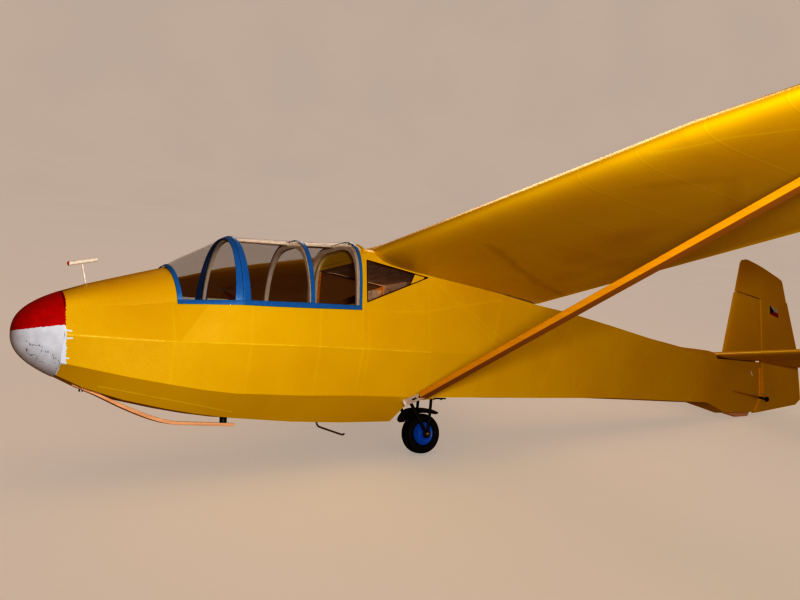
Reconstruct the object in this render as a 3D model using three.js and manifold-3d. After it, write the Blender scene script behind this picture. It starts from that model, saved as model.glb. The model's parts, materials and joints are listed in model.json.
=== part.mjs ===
// A 1:6 flying model of a two-seat, strut-braced training glider: a sheeted nose and cockpit tub,
// a film-covered tail boom, a glazed canopy, wings with ailerons, and one wheel on wire legs.
// Millimetres. In the glider's own frame +X is port, +Y is aft and +Z is up, with the nose tip at
// the origin. The outer groups lean it on its starboard wing tip and stand it on the floor.
import * as THREE from "three";
import { mergeVertices } from "three/addons/utils/BufferGeometryUtils.js";
import Module from "manifold-3d";

const wasm = await Module();
wasm.setup();

// Driving dimensions
const GAP = 0.3; // between pieces that touch
const SKIN = 3; // sheeted wall of the cockpit tub
const HALF_SPAN = 1122;
const CAP_REAR = 40; // rear edge of the nose cap
const SILL_FRONT = 146; // foot of the windshield
const LID_FRONT = 208.4; // front edge of the opening part of the canopy
const TUB_REAR = 350.6; // rear end of the cockpit tub
const CENTRE_FRONT = 354; // front of the body under the wing
const WING_ROOT = 52;
const BOOM_FRONT = 628;
const RUDDER_HINGE_Y = 1181;
const STERN_Y = 1176; // rear end of the boom and the fin
const ELEVATOR_HINGE = { y: 1163, z: 30.6 };
const WHEEL = { y: 477, z: -95.4, radius: 24.3, hub: 14.3, half: 8 };
const AXLE_RADIUS = 1.9;

// How it comes to rest: on its wheel, its starboard wing tip and its tail skid
const LEAN_DEG = 15.17;
const PITCH_DEG = -4.524;

const radians = THREE.MathUtils.degToRad;

// Finishes
const finish = (color, roughness, metalness = 0, opacity = 1) =>
  new THREE.MeshStandardMaterial({
    color,
    roughness,
    metalness,
    opacity,
    transparent: opacity < 1,
  });
const FILM_YELLOW = finish(0xe5ae00, 0.3);
const CAP_PAINT = finish(0xc80a05, 0.4);
const FRAME_BLUE = finish(0x1f5fb0, 0.45);
const CLEAR_SHEET = finish(0xdfe6e8, 0.1, 0, 0.3);
const PALE_WOOD = finish(0xd9a878, 0.6);
const PLYWOOD = finish(0xc8ac98, 0.6);
const RUBBER = finish(0x16161a, 0.8);
const HUB_BLUE = finish(0x1a5ba6, 0.45);
const STEEL = finish(0x8a8d90, 0.35, 1);
const BLACK_STEEL = finish(0x1c1a1a, 0.45, 0.6);
const ALUMINIUM = finish(0xb8b2ae, 0.4, 1);
const BLACK_PLASTIC = finish(0x101012, 0.5);
const WHITE_PLASTIC = finish(0xe8e6e2, 0.45);

// Named values from a table: the words in columns name each row's numbers.
const table = (columns, rows) =>
  rows.map((row) =>
    Object.fromEntries(columns.split(" ").map((name, i) => [name, row[i]])),
  );

// A table's values at a place on its first column, straight between its neighbours.
function at(rows, place) {
  const [key] = Object.keys(rows[0]);
  const found = rows.findIndex((row) => row[key] >= place);
  const next = found < 0 ? rows.length - 1 : Math.max(1, found);
  const [a, b] = [rows[next - 1], rows[next]];
  const t = (place - a[key]) / (b[key] - a[key]);
  return Object.fromEntries(
    Object.keys(a).map((name) => [name, a[name] + (b[name] - a[name]) * t]),
  );
}

// Solids
function solidOf(geometry) {
  const bare = new THREE.BufferGeometry();
  bare.setAttribute("position", geometry.getAttribute("position"));
  if (geometry.index) bare.setIndex(geometry.index);
  const merged = mergeVertices(bare, 1e-4);
  const points = merged.attributes.position;
  const corner = (i) => new THREE.Vector3().fromBufferAttribute(points, i);
  const faces = [];
  let volume = 0;
  for (let i = 0; i < merged.index.count; i += 3) {
    const [a, b, c] = [0, 1, 2].map((k) => merged.index.getX(i + k));
    if (a === b || b === c || a === c) continue;
    faces.push([a, b, c]);
    volume += corner(a).dot(corner(b).cross(corner(c)));
  }
  const outward = faces.map(([a, b, c]) => (volume < 0 ? [a, c, b] : [a, b, c]));
  return new wasm.Manifold(
    new wasm.Mesh({
      numProp: 3,
      vertProperties: points.array,
      triVerts: new Uint32Array(outward.flat()),
    }),
  );
}

function geometryOf(solid) {
  const mesh = solid.getMesh();
  const points = new Float32Array(mesh.numVert * 3);
  for (let i = 0; i < mesh.numVert; i++) {
    const start = i * mesh.numProp;
    points.set(mesh.vertProperties.subarray(start, start + 3), i * 3);
  }
  const geometry = new THREE.BufferGeometry()
    .setAttribute("position", new THREE.BufferAttribute(points, 3))
    .setIndex(new THREE.BufferAttribute(mesh.triVerts, 1))
    .toNonIndexed();
  geometry.computeVertexNormals();
  return geometry;
}

const joined = (solids) => solids.reduce((a, b) => a.add(b));

// The triangles that close a flat ring of points, in the order that the ring runs.
function lid(ring) {
  const normal = [0, 0, 0];
  ring.forEach((p, k) => {
    const q = ring[(k + 1) % ring.length];
    for (const i of [0, 1, 2]) {
      const [u, v] = [(i + 1) % 3, (i + 2) % 3];
      normal[i] += (p[u] - q[u]) * (p[v] + q[v]);
    }
  });
  const size = normal.map(Math.abs);
  const across = size.indexOf(Math.max(...size));
  const [u, v] = [0, 1, 2].filter((axis) => axis !== across);
  const flat = ring.map((p) => new THREE.Vector2(p[u], p[v]));
  const order = ring.map((_, k) => k);
  const backward = THREE.ShapeUtils.area(flat) < 0;
  if (backward) order.reverse();
  const faces = THREE.ShapeUtils.triangulateShape(
    order.map((k) => flat[k]),
    [],
  );
  return faces
    .map((face) => face.map((k) => order[k]))
    .map(([a, b, c]) => (backward ? [a, c, b] : [a, b, c]));
}

// A closed solid through rings of equally many [x, y, z] points, with flat ends.
function loft(rings) {
  const count = rings[0].length;
  const last = (rings.length - 1) * count;
  const index = [];
  for (let start = 0; start < last; start += count)
    for (let j = 0; j < count; j++) {
      const [a, b] = [start + j, start + ((j + 1) % count)];
      index.push(a, b, b + count, a, b + count, a + count);
    }
  for (const [a, b, c] of lid(rings[0])) index.push(a, c, b);
  for (const [a, b, c] of lid(rings[rings.length - 1]))
    index.push(last + a, last + b, last + c);
  const geometry = new THREE.BufferGeometry();
  const points = new THREE.Float32BufferAttribute(rings.flat(2), 3);
  geometry.setAttribute("position", points);
  geometry.setIndex(index);
  return solidOf(geometry);
}

function block([x0, x1], [y0, y1], [z0, z1]) {
  const geometry = new THREE.BoxGeometry(x1 - x0, y1 - y0, z1 - z0);
  geometry.translate((x0 + x1) / 2, (y0 + y1) / 2, (z0 + z1) / 2);
  return solidOf(geometry);
}

// A round bar from one point to another.
function rod(from, to, radius, sides = 12) {
  const a = new THREE.Vector3(...from);
  const b = new THREE.Vector3(...to);
  const length = a.distanceTo(b);
  const geometry = new THREE.CylinderGeometry(radius, radius, length, sides);
  const along = b.clone().sub(a).normalize();
  const upright = new THREE.Vector3(0, 1, 0);
  const turn = new THREE.Quaternion().setFromUnitVectors(upright, along);
  geometry.applyQuaternion(turn);
  geometry.translate(...a.add(b).multiplyScalar(0.5).toArray());
  return solidOf(geometry);
}

// The point so far past the end of a line.
function past(from, to, distance) {
  const end = new THREE.Vector3(...to);
  const step = end.clone().sub(new THREE.Vector3(...from));
  return end.add(step.setLength(distance)).toArray();
}

// A flat bar from one point to another: wide along the given direction, thick across it.
function bar(from, to, width, thickness, wideAlong) {
  const a = new THREE.Vector3(...from);
  const b = new THREE.Vector3(...to);
  const along = b.clone().sub(a).normalize();
  const wide = new THREE.Vector3(...wideAlong);
  wide.addScaledVector(along, -wide.dot(along)).normalize();
  const thick = along.clone().cross(wide);
  const corners = [
    [1, 1],
    [-1, 1],
    [-1, -1],
    [1, -1],
  ];
  const ring = (end) =>
    corners.map(([i, j]) =>
      end
        .clone()
        .addScaledVector(wide, (i * width) / 2)
        .addScaledVector(thick, (j * thickness) / 2)
        .toArray(),
    );
  return loft([ring(a), ring(b)]);
}

// A side-view outline of [y, z] points, carried across from x0 to x1.
const sidePlate = (outline, x0, x1) =>
  loft([x0, x1].map((x) => outline.map(([y, z]) => [x, y, z])));

// A plan-view outline of [x, y] points, carried up from z0 to z1.
const planPlate = (outline, z0, z1) =>
  loft([z0, z1].map((z) => outline.map(([x, y]) => [x, y, z])));

// The port half of a section, as [x, z] points from the bottom up, made whole by its mirror image.
const wholeRing = (half, y) => [
  ...half.map(([x, z]) => [x, y, z]),
  ...half
    .filter(([x]) => x > 0)
    .reverse()
    .map(([x, z]) => [-x, y, z]),
];

// A rounded arch from [halfWidth, foot] up to [0, crown]: a superellipse of the given power.
const arch = (halfWidth, foot, crown, power, steps) =>
  Array.from({ length: steps + 1 }, (_, k) => {
    const angle = (k / steps) * (Math.PI / 2);
    const x = halfWidth * Math.cos(angle) ** (2 / power);
    return [k === steps ? 0 : x, foot + (crown - foot) * Math.sin(angle) ** (2 / power)];
  });

// Nose cap, a turned shape whose radius grows with a power of the distance from its tip
const noseRadius = (y) => 9.2 * y ** 0.41;

function noseCap() {
  const stations = [0.3, 1.2, 3, 6, 10, 16, 24, 32, CAP_REAR];
  const profile = [
    new THREE.Vector2(0, 0),
    ...stations.map((y) => new THREE.Vector2(noseRadius(y), y)),
    new THREE.Vector2(0, CAP_REAR),
  ];
  return solidOf(new THREE.LatheGeometry(profile, 32));
}

// Cockpit tub and belly
const HULL = table(
  "y crown deckX deckZ stringerX stringerZ chineX chineZ keelX keelZ",
  [
    [40, 41.7, 34, 24, 41.6, -3, 30, -29, 12, -40],
    [66, 51.8, 38, 26, 48, -4, 38.5, -34, 15, -51.5],
    [105, 64.4, 40.5, 30, 53, -4.5, 44, -41, 18, -62.6],
    [146, 77.5, 42, 36.8, 57.5, -4, 48, -47, 20, -70.3],
    [178, 77.5, 54, 39.4, 61, -3.8, 49.5, -51, 20, -75],
    [210, 77.5, 62.4, 41.7, 64, -3.5, 50, -53.5, 20, -78.3],
    [288, 77.5, 63.4, 45, 65.5, -1, 50.5, -53.6, 20, -82],
    [350.6, 77.5, 62.4, 46.4, 64.5, -0.5, 49.5, -52, 20, -82.4],
    [418, 77.5, 60, 60, 62, 0.6, 48, -51.9, 20, -80.6],
    [470, 77.5, 60, 60, 62, 0.6, 46.4, -51.6, 20, -79],
  ],
);
const FLOOR_Z = -44;

function tubRing(row, arched) {
  const top = arched
    ? arch(row.deckX, row.deckZ, row.crown, 2, 8)
    : [[row.deckX, row.deckZ]];
  return wholeRing(
    [[row.chineX, row.chineZ], [row.stringerX, row.stringerZ], ...top],
    row.y,
  );
}

function cockpitTub() {
  const deck = [CAP_REAR + GAP, 66, 105, SILL_FRONT];
  const sides = [SILL_FRONT - 0.05, 178, 210, 288, TUB_REAR];
  const shell = loft(deck.map((y) => tubRing(at(HULL, y), true))).add(
    loft(sides.map((y) => tubRing(at(HULL, y), false))),
  );
  const inside = [SILL_FRONT + 5, 178, 210, 288, TUB_REAR + 1].map((y) => {
    const row = at(HULL, y);
    return wholeRing(
      [
        [row.chineX - 5, FLOOR_Z],
        [row.stringerX - SKIN, row.stringerZ],
        [row.deckX - SKIN, row.deckZ - 1],
        [row.deckX - SKIN, row.deckZ + 6],
      ],
      y,
    );
  });
  return shell.subtract(loft(inside));
}

function cockpitFloor() {
  const [low, high] = [FLOOR_Z + GAP, FLOOR_Z + GAP + 2];
  const outline = [
    [-41, SILL_FRONT + 7],
    [-43, TUB_REAR - 1],
    [43, TUB_REAR - 1],
    [41, SILL_FRONT + 7],
  ];
  return planPlate(outline, low, high);
}

// The belly ends in a slanted step just ahead of the wheel: what is cut off there, as [y, z]
const STEP_CUT = [
  [418, -90],
  [418, -80.4],
  [440, -60.5],
  [455, -54.6],
  [464, -53.2],
  [464, -40],
  [480, -40],
  [480, -90],
];

function belly() {
  const rings = [CAP_REAR + GAP, 66, 105, 146, 178, 210, 288, 350.6, 418, 470].map((y) => {
    const row = at(HULL, y);
    return wholeRing(
      [
        [row.keelX, row.keelZ],
        [row.chineX, row.chineZ - GAP],
      ],
      y,
    );
  });
  return loft(rings).subtract(sidePlate(STEP_CUT, -70, 70));
}

// Body under the wing
const CENTRE = table("y shoulderX shoulderZ stringerX stringerZ chineX chineZ", [
  [CENTRE_FRONT, 55.5, 108, 64.4, -0.5, 49.4, -52],
  [377.6, 52.6, 108, 63.6, 0, 48.9, -52],
  [448, 51.4, 99, 60.5, 1, 47.4, -51.8],
  [540, 49.5, 85, 53.5, 3, 43, -49.3],
  [615, 47, 75, 47.5, 5, 39.3, -48.2],
  [BOOM_FRONT, 45, 73.2, 46.4, 5, 38.7, -48],
]);
const WINDOW = [
  [359.3, 101.4],
  [441, 90.8],
  [359.3, 53.2],
];

function sideX(y, z) {
  const row = at(CENTRE, y);
  const share = (z - row.stringerZ) / (row.shoulderZ - row.stringerZ);
  return row.stringerX + (row.shoulderX - row.stringerX) * share;
}

function centreBody() {
  const shell = loft(
    CENTRE.map((row) =>
      wholeRing(
        [
          [row.chineX, row.chineZ],
          [row.stringerX, row.stringerZ],
          [row.shoulderX, row.shoulderZ],
        ],
        row.y,
      ),
    ),
  );
  const room = loft(
    [CENTRE_FRONT - 1, 377.6, 450].map((y) => {
      const top = at(CENTRE, y).shoulderZ - 7.5;
      return wholeRing(
        [
          [sideX(y, 40) - SKIN, 40],
          [sideX(y, top) - SKIN, top],
        ],
        y,
      );
    }),
  );
  const windows = sidePlate(WINDOW, -80, 80);
  const above = joined([wingRootBlock(HALF_SPAN / 10), fairing()]);
  const seat = joined([above, above.translate(0, 0, -GAP), above.translate(0, 0, 20)]);
  return shell.subtract(room).subtract(windows).subtract(seat);
}

function windowPane(side) {
  const middle = [387, 82];
  const inset = 0.985;
  const corners = WINDOW.map((corner) =>
    corner.map((value, i) => middle[i] + (value - middle[i]) * inset),
  );
  const face = (depth) =>
    corners.map(([y, z]) => [side * (sideX(y, z) - depth), y, z]);
  return loft([face(0.5), face(1.4)]);
}

// Wing section: four-digit, 4.5 % camber at 40 % of the chord, 14.5 % thick
const CAMBER = 0.045;
const CAMBER_AT = 0.4;
const THICKNESS = 0.145;
const EDGE = 0.0035; // half the trailing edge's thickness, over the chord

function foilHeight(t, upper) {
  const rear = t >= CAMBER_AT;
  const lead = rear ? 1 - 2 * CAMBER_AT : 0;
  const scale = CAMBER / (rear ? 1 - CAMBER_AT : CAMBER_AT) ** 2;
  const line = scale * (lead + 2 * CAMBER_AT * t - t * t);
  const root = 0.2969 * Math.sqrt(t);
  const half =
    5 * THICKNESS * (root - 0.126 * t - 0.3516 * t ** 2 + 0.2843 * t ** 3 - 0.1036 * t ** 4);
  const thick = Math.max(half, t > 0.5 ? EDGE : 0);
  return upper ? line + thick : line - thick;
}

// Points [t, height] along one surface of the section, closer together towards both ends.
const foilRun = (upper, from, to, steps) =>
  Array.from({ length: steps + 1 }, (_, k) => {
    const t = from + ((to - from) * (1 - Math.cos((k / steps) * Math.PI))) / 2;
    return [t, foilHeight(t, upper)];
  });

const WING_STEPS = 16;
const WING_OUTLINE = [
  ...foilRun(false, 1, 0, WING_STEPS),
  ...foilRun(true, 0, 1, WING_STEPS).slice(1),
];

const WING = table("x front rear factor", [
  [WING_ROOT, 373.3, 624.8, 1],
  [480, 379, 617, 0.97],
  [600, 389.6, 604.6, 0.94],
  [1064, 430, 557.5, 0.82],
  [1090, 437, 552, 0.78],
  [1108, 447, 543, 0.72],
  [1118, 460, 530, 0.62],
  [HALF_SPAN, 476, 514, 0.4],
]);
const DIHEDRAL = radians(5);
const INCIDENCE = 0.148; // fall of the chord line over its length
const CHORD_Z = 99.5; // chord line at the pivot share, at the root
const PIVOT = 0.35;
const WASHOUT = 0.35; // share of the incidence lost at the tip

const SQUARE_FROM = 300; // from here outward the ribs stand square to the wing

function wingPoint(x, t, height) {
  const row = at(WING, x);
  const chord = row.rear - row.front;
  const out = x - WING_ROOT;
  const slope = INCIDENCE * (1 - (WASHOUT * out) / (HALF_SPAN - WING_ROOT));
  const rise = height * chord * row.factor - slope * (t - PIVOT) * chord;
  const square = Math.min(1, out / (SQUARE_FROM - WING_ROOT));
  const inward = rise * Math.sin(DIHEDRAL) * square;
  return [x - inward, row.front + t * chord, CHORD_Z + out * Math.tan(DIHEDRAL) + rise];
}

const wingPiece = (stations, outline, side) =>
  loft(
    stations.map((x) =>
      outline.map(([t, height]) => {
        const [out, y, z] = wingPoint(x, t, height);
        return [side * out, y, z];
      }),
    ),
  );

const AILERON = { from: 602, to: 1062, over: 0.775, under: 0.8 };

function wingPanel(side) {
  const stations = WING.map((row) => row.x);
  const front = AILERON.over - 0.004;
  const slot = [
    [front, 0.15],
    [front, -0.25],
    [1.3, -0.25],
    [1.3, 0.15],
  ];
  const ends = [AILERON.from - 1.2, AILERON.to + 1.2];
  return wingPiece(stations, WING_OUTLINE, side).subtract(wingPiece(ends, slot, side));
}

function aileron(side) {
  const outline = [
    ...foilRun(false, 1, AILERON.under, 5),
    ...foilRun(true, AILERON.over, 1, 5),
  ];
  return wingPiece([AILERON.from, AILERON.to], outline, side);
}

// The root section carried straight across the body
function wingRootBlock(half) {
  return loft(
    [-half, half].map((x) =>
      WING_OUTLINE.map(([t, height]) => {
        const [, y, z] = wingPoint(WING_ROOT, t, height);
        return [x, y, z];
      }),
    ),
  );
}

// Top of the body between the canopy and the wing, with its dip
function fairing() {
  const rows = table("y halfWidth foot crown power", [
    [CENTRE_FRONT, 55, 105, 123.4, 3.4],
    [362, 53.4, 105, 119.6, 3.2],
    [370, 51.8, 105, 119.4, 3.2],
    [382, 51.2, 105, 119, 3.2],
  ]);
  return loft(
    rows.map((row) =>
      wholeRing(
        [
          [row.halfWidth - 1, row.foot],
          ...arch(row.halfWidth, row.foot + 1, row.crown, row.power, 6),
        ],
        row.y,
      ),
    ),
  );
}

const wingSaddle = () => wingRootBlock(WING_ROOT - GAP).add(fairing());

// The rudder's pushrod leaves a groove in the boom's port side and ends in a clevis
const ROD_EXIT = [10.5, 1104, -28.4];
const ROD_END = [12.5, 1170.6, -36.6];
const ROD_INSIDE = 14;
const CLEVIS_LENGTH = 34;

// Tail boom
const BOOM = table("y cornerX bottomZ longeronX longeronZ ridgeZ", [
  [BOOM_FRONT + GAP, 38.7, -48, 45, 73.2, 77],
  [690, 35.5, -46.5, 40.5, 68.2, 72.5],
  [780, 31, -44.6, 35, 56.6, 61],
  [880, 26, -45, 28.5, 42.6, 47.5],
  [960, 22, -45.8, 23, 30.8, 39.5],
  [1006, 19.6, -46, 20, 27, 38.4],
  [1040, 14.6, -54.6, 17.6, 24, 37.2],
]);
const STERN = table("y cornerX bottomZ topX topZ", [
  [1039.9, 14.6, -54.6, 17.6, 24],
  [1066, 9.6, -61.6, 15.6, 24],
  [1120, 6.4, -59.6, 10.6, 24],
  [STERN_Y, 3.6, -57.4, 4.4, 24],
]);
// What is cut off the stern's lower corner, as [y, z]: the rudder's front edge follows this slant
const SLANT_TOP = -28;
const SLANT_RUN = 27.5;
const SLANT_DROP = 34;
const STERN_CUT = [
  [STERN_Y, SLANT_TOP],
  [STERN_Y - SLANT_RUN, SLANT_TOP - SLANT_DROP],
  [STERN_Y + 20, -90],
  [STERN_Y + 20, SLANT_TOP],
];

function tailBoom() {
  const boom = loft(
    BOOM.map((row) => {
      const rise = row.ridgeZ - row.longeronZ;
      return wholeRing(
        [
          [row.cornerX, row.bottomZ],
          [row.longeronX, row.longeronZ],
          [row.longeronX * 0.62, row.longeronZ + rise * 0.72],
          [0, row.ridgeZ],
        ],
        row.y,
      );
    }),
  );
  const stern = loft(
    STERN.map((row) =>
      wholeRing(
        [
          [row.cornerX, row.bottomZ],
          [row.topX, row.topZ],
        ],
        row.y,
      ),
    ),
  );
  return boom
    .add(stern)
    .subtract(sidePlate(STERN_CUT, -30, 30))
    .subtract(rod(past(ROD_END, ROD_EXIT, ROD_INSIDE + 9), ROD_END, 1.2, 10));
}

// A fin-like surface through levels, each a line from a front to a rear [y, z] point. The profile
// gives half the thickness along that line, as [share, half].
const finSurface = (levels, profile) =>
  loft(
    levels.map(([[y0, z0], [y1, z1]]) => {
      const point = ([share, half], side) => [
        side * half,
        y0 + (y1 - y0) * share,
        z0 + (z1 - z0) * share,
      ];
      return [
        ...profile.map((step) => point(step, 1)),
        ...[...profile].reverse().map((step) => point(step, -1)),
      ];
    }),
  );

const FIN_BASE_Z = 37;

const fin = () =>
  finSurface(
    [
      [
        [1061, FIN_BASE_Z],
        [STERN_Y, FIN_BASE_Z],
      ],
      [
        [1108.5, 138.6],
        [STERN_Y, 130.4],
      ],
    ],
    [
      [0, 0.8],
      [0.05, 2.6],
      [0.18, 3.9],
      [0.5, 4.5],
      [1, 4.3],
    ],
  );

function rudder() {
  const front = RUDDER_HINGE_Y - 4;
  const lower = finSurface(
    [
      [
        [front - SLANT_RUN + 2, -60.5],
        [1274, -44.5],
      ],
      [
        [front - 5, -33.5],
        [1289.5, -35],
      ],
      [
        [front, SLANT_TOP + 0.6],
        [1288.5, -14],
      ],
      [
        [front, 45],
        [1283.5, 52],
      ],
      [
        [front, 133],
        [1259, 133],
      ],
    ],
    [
      [0, 1.8],
      [0.025, 3.8],
      [0.2, 3.9],
      [1, 0.9],
    ],
  );
  const horn = finSurface(
    [
      [
        [1111.2, 141.4],
        [1259, 123.6],
      ],
      [
        [1133, 190],
        [1248, 165.5],
      ],
      [
        [1137, 195.5],
        [1245.5, 171],
      ],
      [
        [1148, 198.2],
        [1236, 174.8],
      ],
    ],
    [
      [0, 0.8],
      [0.05, 2.4],
      [0.3, 3.8],
      [0.5, 3.8],
      [1, 0.9],
    ],
  );
  return lower.add(horn);
}

// Tailplane and elevators: rows give the plan, the profile gives half the thickness
const TAILPLANE = table("x front rear factor", [
  [0, 1041.5, 1157.5, 1],
  [252, 1050.5, 1157.5, 0.75],
  [267, 1057, 1157.5, 0.7],
  [275, 1072, 1155, 0.5],
]);
const ELEVATOR_FRONT_Y = ELEVATOR_HINGE.y - 4.2;
const ELEVATOR = table("x front rear factor", [
  [9.5, ELEVATOR_FRONT_Y, 1228, 1],
  [240, ELEVATOR_FRONT_Y, 1222, 0.78],
  [264, ELEVATOR_FRONT_Y, 1212, 0.72],
  [274, ELEVATOR_FRONT_Y + 1, 1190, 0.55],
]);
const ELEVATOR_DROOP_DEG = 12;

function tailSurface(rows, profile) {
  return loft(
    rows.map((row) => {
      const point = ([share, half], side) => [
        row.x,
        row.front + (row.rear - row.front) * share,
        ELEVATOR_HINGE.z + side * half * row.factor,
      ];
      return [
        ...profile.map((step) => point(step, 1)),
        ...[...profile].reverse().map((step) => point(step, -1)),
      ];
    }),
  );
}

function tailplane() {
  const mirrored = TAILPLANE.slice(1)
    .reverse()
    .map((row) => ({ ...row, x: -row.x }));
  return tailSurface(
    [...mirrored, ...TAILPLANE],
    [
      [0, 0.8],
      [0.03, 3],
      [0.1, 4.8],
      [0.3, 6],
      [0.6, 5.9],
      [1, 4.6],
    ],
  );
}

// Swinging clearance of the rudder, cut from both elevators, as [x, y]
const RUDDER_CUT = [
  [0, 1150],
  [8, 1150],
  [12, 1182],
  [46, 1232],
  [46, 1250],
  [0, 1250],
];

function elevator(side) {
  const whole = tailSurface(ELEVATOR, [
    [0, 2],
    [0.04, 4.4],
    [0.2, 4.3],
    [1, 0.8],
  ]);
  const cut = whole.subtract(planPlate(RUDDER_CUT, 0, 60));
  return side > 0 ? cut : cut.mirror([1, 0, 0]);
}

// Canopy: each row is a wooden arch that the clear sheet is wrapped over
const CANOPY = table("y halfWidth foot crown power", [
  [146, 41.5, 37.2, 77.4, 2],
  [210, 62.4, 42.1, 117.7, 2.2],
  [288, 63.4, 45.4, 121.2, 2.5],
  [TUB_REAR, 62.2, 46.8, 125.2, 3.9],
]);
const SHEET = 1; // clear sheet
const TAPE = 1; // blue frame over it
const ARCH_STEPS = 10;

// A curved shell between two depths under the canopy's outside, from y0 to y1.
function canopyShell(y0, y1, outer, inner) {
  const between = CANOPY.map((row) => row.y).filter((y) => y > y0 && y < y1);
  return loft(
    [y0, ...between, y1].map((y) => {
      const row = at(CANOPY, y);
      const over = (depth) =>
        wholeRing(
          arch(row.halfWidth - depth, row.foot, row.crown - depth, row.power, ARCH_STEPS),
          y,
        );
      return [...over(outer), ...over(inner).reverse()];
    }),
  );
}

// The band along the sill, as high as the blue frame there
function sillBand(y0, y1) {
  const height = 5;
  const rows = [y0, (y0 + y1) / 2, y1].map((y) => at(CANOPY, y));
  return loft(
    rows.map(({ y, foot }) => [
      [-80, y, foot - 2],
      [80, y, foot - 2],
      [80, y, foot + height],
      [-80, y, foot + height],
    ]),
  );
}

const slab = (y0, y1) => block([-80, 80], [y0, y1], [0, 140]);

function windshieldFrame() {
  const [front, rear] = [SILL_FRONT + 0.6, LID_FRONT - 0.6];
  const shell = canopyShell(front, rear, -GAP - TAPE, -GAP);
  return shell.intersect(
    joined([slab(front, front + 4.5), slab(rear - 3.4, rear), sillBand(front, rear)]),
  );
}

function lidFrame() {
  const [front, rear] = [LID_FRONT, TUB_REAR - 0.3];
  const shell = canopyShell(front, rear, -GAP - TAPE, -GAP);
  return shell.intersect(
    joined([
      slab(front, front + 8.6),
      slab(286.6, 291),
      slab(rear - 3.2, rear),
      sillBand(front, rear),
    ]),
  );
}

const FORMER_Y = [
  [209.2, 216.6],
  [281.6, 288.4],
  [340.6, 347.6],
];
const former = ([y0, y1]) => canopyShell(y0, y1, SHEET + GAP, SHEET + GAP + 4.5);

function roofStrip(y0, y1) {
  const under = SHEET + GAP + 1;
  return loft(
    [y0, y1].map((y) => {
      const top = at(CANOPY, y).crown - under;
      return wholeRing(
        [
          [6, top - 2],
          [6, top],
        ],
        y,
      );
    }),
  );
}

function rearBulkhead() {
  const [front, rear] = [TUB_REAR + GAP, CENTRE_FRONT - GAP];
  const hull = at(HULL, 350.6);
  const outline = [
    [hull.chineX, hull.chineZ],
    [hull.stringerX, hull.stringerZ],
    ...arch(62, 46.6, 124.8, 3.9, 8),
  ];
  const hole = [[48, 52], ...arch(52, 56, 117, 3.9, 6)];
  return loft([front, rear].map((y) => wholeRing(outline, y))).subtract(
    loft([front - 1, rear + 1].map((y) => wholeRing(hole, y))),
  );
}

// The lid turns on two hinges beside the starboard sill: a knuckle over a leaf on the tub's side
const LID_HINGE = { x: -65.7, z: 45, half: 7 };
const LID_HINGE_Y = [235, 322];

function lidHinge(y) {
  const { x, z, half } = LID_HINGE;
  const { foot } = at(CANOPY, y);
  const side = -at(HULL, y).deckX - 0.9;
  const along = [y - half, y + half];
  return joined([
    rod([x, y - half, z], [x, y + half, z], 1.2, 10),
    block([x - 0.4, x + 0.4], along, [foot - 9, z]),
    block([x - 0.4, side], along, [foot - 9, foot - 1]),
  ]);
}

// Struts
const STRUT_FOOT = [44.4, 431, -60.4];
const STRUT_LOW = [74, 437, -49.5];
const STRUT_HIGH_Y = 455;
const STRUT_TOP_X = 596;

function wingUnderside(x, y) {
  const { front, rear } = at(WING, x);
  const t = (y - front) / (rear - front);
  return wingPoint(x, t, foilHeight(t, false))[2];
}

const STRUT_HIGH = [
  STRUT_TOP_X,
  STRUT_HIGH_Y,
  wingUnderside(STRUT_TOP_X, STRUT_HIGH_Y) - 9,
];
const mirror = (point, side) => [side * point[0], point[1], point[2]];

const strut = (side) =>
  bar(mirror(STRUT_LOW, side), mirror(STRUT_HIGH, side), 12, 6.5, [0, 1, 0]);

const strutFoot = (side) =>
  bar(mirror(STRUT_FOOT, side), mirror([73.6, 436.9, -49.7], side), 8, 1.6, [0, -0.5, 0.85]);

function strutHead(side) {
  const [x0, x1] = [588, 612];
  const depth = 1.1;
  const under = (x) => [side * x, STRUT_HIGH_Y, wingUnderside(x, STRUT_HIGH_Y) - depth];
  const plate = bar(under(x0), under(x1), 11, 1.2, [0, 1, -0.13]);
  const from = mirror(past(STRUT_LOW, STRUT_HIGH, GAP), side);
  const tongue = bar(from, [side * (x1 - 3), STRUT_HIGH_Y, under(x1 - 3)[2]], 8, 1.6, [0, 1, 0]);
  return plate.add(tongue);
}

// Skid
const SKID = table("y topZ", [
  [57, -49.2],
  [77, -55.2],
  [96, -63.5],
  [122, -73.7],
  [149, -80.4],
  [176, -84.2],
  [229, -85.2],
]);
const SKID_THICKNESS = 3.4;

const skid = () =>
  loft(
    SKID.map(({ y, topZ }) =>
      wholeRing(
        [
          [5.5, topZ - SKID_THICKNESS],
          [5.5, topZ],
        ],
        y,
      ),
    ),
  );

function skidBlock() {
  const rubber = (y) => {
    const top = at(HULL, y).keelZ - GAP;
    const foot = at(SKID, y).topZ + GAP;
    return wholeRing(
      [
        [4.5, foot],
        [4.5, top],
      ],
      y,
    );
  };
  return loft([210, 219].map(rubber));
}

function skidScrew() {
  const y = 66;
  const top = at(SKID, y).topZ - SKID_THICKNESS - GAP - 0.6;
  return rod([0, y, top], [0, y, top - 1.8], 2.6);
}

function towHook() {
  const top = at(HULL, 331).keelZ - GAP;
  const points = [
    [0, 331, top],
    [0, 332.6, -87],
    [0, 366, -97.4],
    [0, 369, -95.4],
  ];
  const spans = points.slice(1).map((to, k) => rod(points[k], to, 1, 8));
  const bends = points.slice(1, -1).map((to) => {
    const ball = new THREE.SphereGeometry(1.05, 8, 6);
    ball.translate(...to);
    return solidOf(ball);
  });
  return joined([...spans, ...bends]);
}

// Undercarriage
const LEG_X = 14;

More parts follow.
